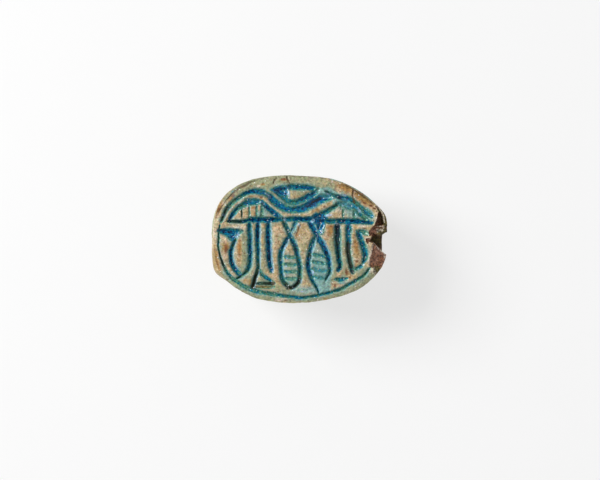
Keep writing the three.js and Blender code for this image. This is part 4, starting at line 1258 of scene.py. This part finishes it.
def glazed_stone(colours, grain, broken_up, mottling):
    """Worn blue-green glaze, glossy where it pooled in the carving, over mottled tan steatite."""
    material, tree, surface = new_material("Glazed Steatite")
    where = in_millimetres(tree)
    stone = grained(tree, grain, colours.pink_tan, colours.tan, colours.mustard, 0.8)
    colour = stone["Color"]
    hollow = mark(tree, "hollow")
    drift = noise(tree, where, 1.1, 2.0, 0.5)

    def laid(name, shade, size, amount, level, softness, most=1.0):
        mask = ragged(tree, broken_up, mark(tree, name), size, amount, level, softness)
        mask = product(tree, mask, most)
        return blend(tree, mask, colour, colour_of(shade))

    film_mark = math_of(tree, "ADD", mark(tree, "film"), product(tree, drift, 0.25))
    film = ragged(tree, broken_up, film_mark, 0.35, 0.9, 0.5, 0.35)
    colour = blend(tree, product(tree, film, 0.85), colour, colour_of(colours.film))
    colour = laid("ochre", colours.ochre, 0.3, 0.6, 0.42, 0.35, 0.85)
    colour = laid("wash", colours.wash, 0.4, 0.8, 0.5, 0.4, 0.75)
    colour = laid("rust", colours.rust, 0.15, 0.6, 0.5, 0.3, 0.85)
    colour = laid("pale", colours.cream, 0.2, 0.4, 0.45, 0.3, 0.85)
    stained = ragged(tree, broken_up, mark(tree, "halo"), 0.5, 1.5, 0.68, 0.4)
    colour = blend(tree, product(tree, stained, 0.5), colour, colour_of(colours.wash))
    halo = ease(tree, hollow, 0.0, 0.5)
    uneven = ease(tree, noise(tree, where, 0.5, 2.0), 0.3, 0.7)
    halo = product(tree, halo, blend_value(tree, uneven, 0.5, 1.0))
    colour = blend(tree, halo, colour, colour_of(colours.halo))
    pooled = ragged(tree, broken_up, hollow, 0.24, 0.5, 0.37, 0.14)
    shift = product(tree, math_of(tree, "SUBTRACT", noise(tree, where, 0.3, 4.0, 0.75), 0.5), 3.2)
    deep = blend_value(tree, ease(tree, hollow, 0.4, 0.9), 0.4, 1.0)
    tone = math_of(tree, "ADD", product(tree, mark(tree, "blue"), deep), shift)
    colour = blend(tree, pooled, colour, glaze_tone(tree, tone, colours))
    strong_wash = ease(tree, mark(tree, "wash"), 0.6, 1.0)
    milky = product(tree, strong_wash, product(tree, pooled, 0.5))
    colour = blend(tree, milky, colour, colour_of(colours.wash))
    colour = laid("mustard", colours.mustard_stain, 0.2, 0.9, 0.5, 0.3, 0.8)
    # A painted highlight, pale lilac-blue, on the wall of a line that faces the window light
    sheen = ragged(tree, broken_up, mark(tree, "sheen"), 0.3, 1.6, 0.5, 0.3)
    colour = blend(tree, product(tree, sheen, 0.6), colour, colour_of(colours.sheen))
    # Dirt and painted shade, dark in the deep of the lines
    dirt = ragged(tree, broken_up, mark(tree, "dirt"), 0.2, 0.7, 0.5, 0.25)
    dirt = product(tree, dirt, ease(tree, hollow, 0.3, 0.6))
    colour = blend(tree, product(tree, dirt, 0.85), colour, colour_of(colours.dirt))
    # Painted lilac highlights, in the painted highlight's colour
    colour = laid("lilac_highlight", colours.sheen, 0.2, 1.4, 0.5, 0.3, 0.85)
    spots = spots_group()
    specks = use_group(tree, spots, {"Dark Size": 0.12, "Light Size": 0.36})
    glints = use_group(tree, spots, {"Dark Size": 0.14, "Light Size": 0.34})
    crack = ragged(tree, broken_up, mark(tree, "crack"), 0.2, 0.5, 0.4, 0.3)
    colour = blend(tree, product(tree, crack, 0.8), colour, colour_of(colours.old_dirt))
    on_land = math_of(tree, "SUBTRACT", 1.0, pooled)
    cracks = product(tree, product(tree, specks["Cracks"], 0.5), on_land)
    colour = blend(tree, cracks, colour, colour_of(colours.rust))
    colour = blend(tree, product(tree, specks["Pits"], 0.75), colour, colour_of(colours.dirt))
    contrast = blend_value(tree, pooled, 2.9, 4.4)
    colour = use_group(tree, mottling, {"Color": colour, "Tint": 0.9, "Shade": contrast})["Color"]
    level = add_node(tree, "ShaderNodeSeparateXYZ", {0: where}).outputs[2]
    on_face = blend_value(tree, ease(tree, level, Shape.height - 1.0, Shape.height - 0.6), 0.2, 1.0)
    # Painted glints: white specks on the face and in the pooled glaze
    colour = blend(tree, product(tree, specks["Specks"], on_face), colour, SPECK_GLINT_WHITE)
    glinting = product(tree, glints["Specks"], ease(tree, hollow, 0.15, 0.4))
    glinting = product(tree, glinting, on_face)
    colour = blend(tree, glinting, colour, GLINT_WHITE)
    tree.links.new(colour, surface.inputs["Base Color"])
    gloss = product(tree, pooled, math_of(tree, "SUBTRACT", 1.0, product(tree, dirt, 0.8)))
    matt = blend_value(tree, noise(tree, where, 0.5, 3.0), 0.42, 0.66)
    tree.links.new(blend_value(tree, gloss, matt, 0.16), surface.inputs["Roughness"])
    tree.links.new(product(tree, gloss, 0.3), surface.inputs["Coat Weight"])
    surface.inputs["Coat Roughness"].default_value = 0.06
    bump = add_node(tree, "ShaderNodeBump", {"Height": stone["Height"], "Distance": 0.04 * MM})
    tree.links.new(blend_value(tree, pooled, 1.0, 0.45), bump.inputs["Strength"])
    tree.links.new(bump.outputs[0], surface.inputs["Normal"])
    return material


def broken_stone(colours, grain, broken_up, mottling):
    """Bare steatite where the head end broke off, grainy and matt, brown to red-brown, with old dirt and
    painted shade in its hollows.
    """
    material, tree, surface = new_material("Broken Steatite")
    where = in_millimetres(tree)
    stone = grained(tree, grain, colours.break_mauve, colours.break_brown, colours.break_dark, 0.45)
    colour = stone["Color"]
    # Dark dirt with painted shade in the hollows of the break and the bore
    dirt = ragged(tree, broken_up, mark(tree, "dirt"), 0.24, 1.2, 0.52, 0.3)
    colour = blend(tree, product(tree, dirt, 0.85), colour, colour_of(colours.break_soil_and_shade))
    olive = ragged(tree, broken_up, mark(tree, "film"), 0.25, 0.7, 0.5, 0.3)
    colour = blend(tree, product(tree, olive, 0.9), colour, colour_of(colours.olive))
    pale = ragged(tree, broken_up, mark(tree, "pale"), 0.2, 0.4, 0.4, 0.25)
    colour = blend(tree, product(tree, pale, 0.8), colour, colour_of(colours.cream))
    colour = use_group(tree, mottling, {"Color": colour, "Tint": 0.5, "Shade": 7.5})["Color"]
    tree.links.new(colour, surface.inputs["Base Color"])
    tree.links.new(blend_value(tree, noise(tree, where, 0.3, 3.0), 0.45, 0.8), surface.inputs["Roughness"])
    bump = add_node(tree, "ShaderNodeBump", {"Height": stone["Height"], "Distance": 0.06 * MM})
    bump.inputs["Strength"].default_value = 1.0
    tree.links.new(bump.outputs[0], surface.inputs["Normal"])
    return material


def length_of(name, description, mm):
    settings = {"min": 0.0, "unit": "LENGTH", "precision": 5}
    return FloatProperty(name=name, description=description, default=mm * MM, **settings)


def shade_of(name, description, red, green, blue):
    """A screen colour from 0 to 255 as a property."""
    default = (red / 255, green / 255, blue / 255)
    settings = {"subtype": "COLOR_GAMMA", "size": 3, "min": 0.0, "max": 1.0}
    return FloatVectorProperty(name=name, description=description, default=default, **settings)


class ScarabSizes(bpy.types.PropertyGroup):
    """Sizes of the amulet."""

    length: length_of("Length", "Length of the whole outline before the head end broke", 17.0)
    width: length_of("Width", "Width across the engraved face", 12.4)
    height: length_of("Height", "Height from the flat of the back to the engraved face", 7.6)
    edge_wear: length_of("Edge Wear", "How far the rim of the face is worn round", 0.22)
    plinth_height: length_of("Plinth Height", "Height of the plain edge under the face", 1.25)
    waist_height: length_of("Waist Height", "Height of the groove between plinth and legs", 0.5)
    waist_depth: length_of("Waist Depth", "Depth of that groove", 0.34)
    flank_height: length_of("Flank Height", "Height of the flank with the legs", 1.75)
    flank_inset: length_of("Flank Inset", "How far the flank lies inside the plinth", 0.15)
    shoulder_inset: length_of("Shoulder Inset", "How far the dome's foot lies inside the plinth", 0.32)
    head_setback: length_of("Head Setback", "How far the head lies back from the plinth", 0.1)
    tail_bulge: length_of("Tail Bulge", "How far the flank shows past the plinth at the tail", 0.14)
    flat_share: FloatProperty(name="Flat", description="The small flat it lies on, as a share of the dome",
                              default=0.3, min=0.05, max=0.8, subtype="FACTOR")
    bore_width: length_of("Bore Width", "Width of the string bore", 1.5)
    bore_head_depth: length_of("Bore Head Depth", "Depth of the bore below the face at the head", 2.2)
    bore_tail_depth: length_of("Bore Tail Depth", "Depth of the bore below the face at the tail", 3.0)
    bore_offset: FloatProperty(name="Bore Offset", description="How far the bore lies off the middle",
                               default=-0.29 * MM, unit="LENGTH", precision=5)


class ScarabColours(bpy.types.PropertyGroup):
    """Colours of the stone, its glaze and its stains, and of the painted highlights and painted shade."""

    tan: shade_of("Tan", "Stone of the lands", 180, 158, 114)
    pink_tan: shade_of("Pinkish Tan", "Lighter stone of the lands", 200, 178, 144)
    mustard: shade_of("Mustard", "Darker mottles in the stone", 156, 124, 72)
    film: shade_of("Green Film", "Thin grey-green glaze left on the lands", 144, 152, 118)
    wash: shade_of("Blue Wash", "Thin blue glaze left on the lands", 96, 164, 166)
    ochre: shade_of("Ochre", "Ochre stain", 158, 112, 48)
    rust: shade_of("Rust", "Rust spots", 112, 62, 28)
    cream: shade_of("Cream", "Bare pale stone", 218, 204, 182)
    halo: shade_of("Halo", "Glaze that fades out beside a line", 72, 138, 128)
    thin_glaze: shade_of("Thin Glaze", "Glaze where it is thinnest in a line", 96, 142, 116)
    teal: shade_of("Teal", "Teal glaze", 22, 118, 116)
    blue: shade_of("Blue", "Blue glaze", 6, 114, 152)
    deep_blue: shade_of("Deep Blue", "Deep blue glaze", 0, 84, 138)
    navy: shade_of("Navy", "Glaze where it is thickest", 6, 32, 50)
    # Colour of the painted highlight on the wall of a line that faces the window light, and of the lilac
    # highlights
    sheen: shade_of("Sheen", "Glaze worn pale on the far wall of a line", 146, 178, 200)
    old_dirt: shade_of("Old Dirt", "Brown dirt in fine cracks", 84, 68, 40)
    # Colour of the dirt and painted shade deep in the lines, the waist and the bore, and of dark pits
    dirt: shade_of("Dirt", "Old dirt in the lines and the bore", 38, 27, 12)
    break_brown: shade_of("Break Brown", "Main colour of the broken stone", 142, 94, 64)
    break_mauve: shade_of("Break Mauve", "Lighter colour of the broken stone", 160, 118, 96)
    break_dark: shade_of("Break Dark", "Darker colour of the broken stone", 76, 42, 26)
    # Colour of the dark dirt with painted shade in the broken places and the bore
    break_soil_and_shade: shade_of("Break Soil", "Dark dirt in the broken places and the bore", 108, 68, 40)
    mustard_stain: shade_of("Mustard Stain", "Yellow-brown stain over glaze and stone", 142, 116, 60)
    olive: shade_of("Olive", "Olive stain on the break", 84, 80, 30)


class ScarabStage(bpy.types.PropertyGroup):
    """The camera and the light round the amulet."""

    distance: length_of("Distance", "Camera distance from the face", 217.35)
    lean_left: FloatProperty(name="Lean Left", description="How far left the camera stands, as a share",
                             default=0.052)
    lean_up: FloatProperty(name="Lean Up", description="How far up the camera stands, as a share",
                           default=0.02)
    floor_colour: shade_of("Floor", "The pale table", 146, 146, 146)
    table_glow: FloatProperty(name="Table Glow", description="Light that comes up through the table",
                              default=0.65, min=0.0)
    window_power: FloatProperty(name="Window Power", description="Power of the soft light at the left",
                                default=1.9, min=0.0, unit="POWER")
    sky_strength: FloatProperty(name="Sky", description="Strength of the even light all round",
                                default=0.5, min=0.0)


class SCARAB_OT_carve_amulet(bpy.types.Operator):
    """Carve, pierce, break and glaze the scarab amulet"""

    bl_idname = "scarab.carve_amulet"
    bl_label = "Carve Amulet"
    bl_options = {"REGISTER", "UNDO"}

    def execute(self, context):
        Shape.measure(context.scene.scarab_sizes)
        colours = context.scene.scarab_colours
        grain = stone_grain_group()
        broken_up = broken_up_group()
        mottling = mottling_group()
        break_finish = broken_stone(colours, grain, broken_up, mottling)
        bpy.ops.object.select_all(action="DESELECT")
        body = joined_body()
        body.name = "scarab_amulet"
        body.data.name = "scarab_amulet"
        body.data.materials.append(glazed_stone(colours, grain, broken_up, mottling))
        cut_away(body, bore_cutter(), break_finish)
        cut_away(body, break_cutter(), break_finish)
        only(body)
        bpy.ops.object.mode_set(mode="EDIT")
        bpy.ops.mesh.select_all(action="SELECT")
        bpy.ops.mesh.remove_doubles(threshold=DOUBLES)
        bpy.ops.mesh.normals_make_consistent(inside=False)
        bpy.ops.object.mode_set(mode="OBJECT")
        mark_surface(body)
        write_points(body, read_points(body) * MM)
        only(body)
        bpy.ops.object.shade_smooth_by_angle(angle=math.radians(SHARP_ANGLE))
        if len(body.data.polygons) < FEWEST_FACES:
            raise RuntimeError("The amulet's body was lost when the broken places were cut away.")
        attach(body, "root")
        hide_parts(NODE)
        return {"FINISHED"}


class SCARAB_OT_set_stage(bpy.types.Operator):
    """Set the amulet on a pale table, with a soft light at the left and the photograph's camera"""

    bl_idname = "scarab.set_stage"
    bl_label = "Set Stage"
    bl_options = {"REGISTER", "UNDO"}

    def execute(self, context):
        stage = context.scene.scarab_stage
        height = context.scene.scarab_sizes.height
        bpy.ops.object.select_all(action="DESELECT")
        bpy.ops.mesh.primitive_plane_add(size=TABLE_SIZE)
        table = bpy.context.object
        table.name = "table"
        material, tree, surface = new_material("Pale Table")
        paper = noise(tree, in_millimetres(tree), 6.0, 3.0)
        pale = colour_of(stage.floor_colour)
        dim = tuple(part * 0.97 for part in pale[:3]) + (1.0,)
        tree.links.new(blend(tree, paper, dim, pale), surface.inputs["Base Color"])
        surface.inputs["Roughness"].default_value = 0.7
        surface.inputs["Emission Color"].default_value = (1.0, 1.0, 1.0, 1.0)
        surface.inputs["Emission Strength"].default_value = stage.table_glow
        table.data.materials.append(material)
        world = bpy.data.worlds.new("Soft Studio")
        world.use_nodes = True
        sky = world.node_tree.nodes["Background"]
        sky.inputs["Color"].default_value = (1.0, 1.0, 1.0, 1.0)
        tree = world.node_tree
        up = add_node(tree, "ShaderNodeTexCoord").outputs["Generated"]
        up = add_node(tree, "ShaderNodeSeparateXYZ", {0: up}).outputs["Z"]
        strength = blend_value(tree, ease(tree, up, 0.45, 0.95), stage.sky_strength, OVERHEAD_SKY)
        tree.links.new(strength, sky.inputs["Strength"])
        context.scene.world = world
        self.add_window("Window", Vector((-0.3, 0.14, 0.25)), 0.2, stage.window_power)
        self.add_window("Fill", Vector((0.2, -0.1, 0.4)), 0.4, stage.window_power * FILL_SHARE)
        camera = bpy.data.cameras.new("Camera")
        camera.lens = LENS
        camera.sensor_width = SENSOR_WIDTH
        camera.clip_start = 0.01
        camera.clip_end = 5.0
        holder = bpy.data.objects.new("Camera", camera)
        context.collection.objects.link(holder)
        aim = Vector((0.0, -PIXEL * MM, height))
        back = Vector((-stage.lean_left, stage.lean_up, 1.0)).normalized()
        right = Vector((0.0, 1.0, 0.0)).cross(back).normalized()
        upward = back.cross(right)
        holder.matrix_world = Matrix.Translation(aim + back * stage.distance) @ Matrix(
            (right, upward, back)
        ).transposed().to_4x4()
        context.scene.camera = holder
        context.scene.view_settings.view_transform = "Standard"
        context.scene.view_settings.look = "None"
        return {"FINISHED"}

    def add_window(self, name, place, size, power):
        """A large soft square light that faces the amulet."""
        lamp = bpy.data.lights.new(name, "AREA")
        lamp.shape = "SQUARE"
        lamp.size = size
        lamp.energy = power
        holder = bpy.data.objects.new(name, lamp)
        holder.location = place
        holder.rotation_euler = place.to_track_quat("Z", "Y").to_euler()
        bpy.context.collection.objects.link(holder)


class SCARAB_PT_workshop(bpy.types.Panel):
    """Panel with the amulet's sizes, colours and stage"""

    bl_idname = "SCARAB_PT_workshop"
    bl_label = "Scarab Amulet"
    bl_space_type = "VIEW_3D"
    bl_region_type = "UI"
    bl_category = "Scarab"

    def draw(self, context):
        layout = self.layout
        layout.operator(SCARAB_OT_carve_amulet.bl_idname)
        layout.operator(SCARAB_OT_set_stage.bl_idname)
        for group in (context.scene.scarab_sizes, context.scene.scarab_colours, context.scene.scarab_stage):
            box = layout.box()
            for name in group.bl_rna.properties.keys():
                if name not in ("rna_type", "name"):
                    box.prop(group, name)


CLASSES = (
    ScarabSizes,
    ScarabColours,
    ScarabStage,
    SCARAB_OT_carve_amulet,
    SCARAB_OT_set_stage,
    SCARAB_PT_workshop,
)


def register():
    for kind in CLASSES:
        bpy.utils.register_class(kind)
    bpy.types.Scene.scarab_sizes = PointerProperty(type=ScarabSizes)
    bpy.types.Scene.scarab_colours = PointerProperty(type=ScarabColours)
    bpy.types.Scene.scarab_stage = PointerProperty(type=ScarabStage)


def unregister():
    del bpy.types.Scene.scarab_stage
    del bpy.types.Scene.scarab_colours
    del bpy.types.Scene.scarab_sizes
    for kind in reversed(CLASSES):
        bpy.utils.unregister_class(kind)


def main():
    register()
    bpy.ops.scarab.set_stage()
    bpy.ops.scarab.carve_amulet()


if __name__ == "__main__":
    main()
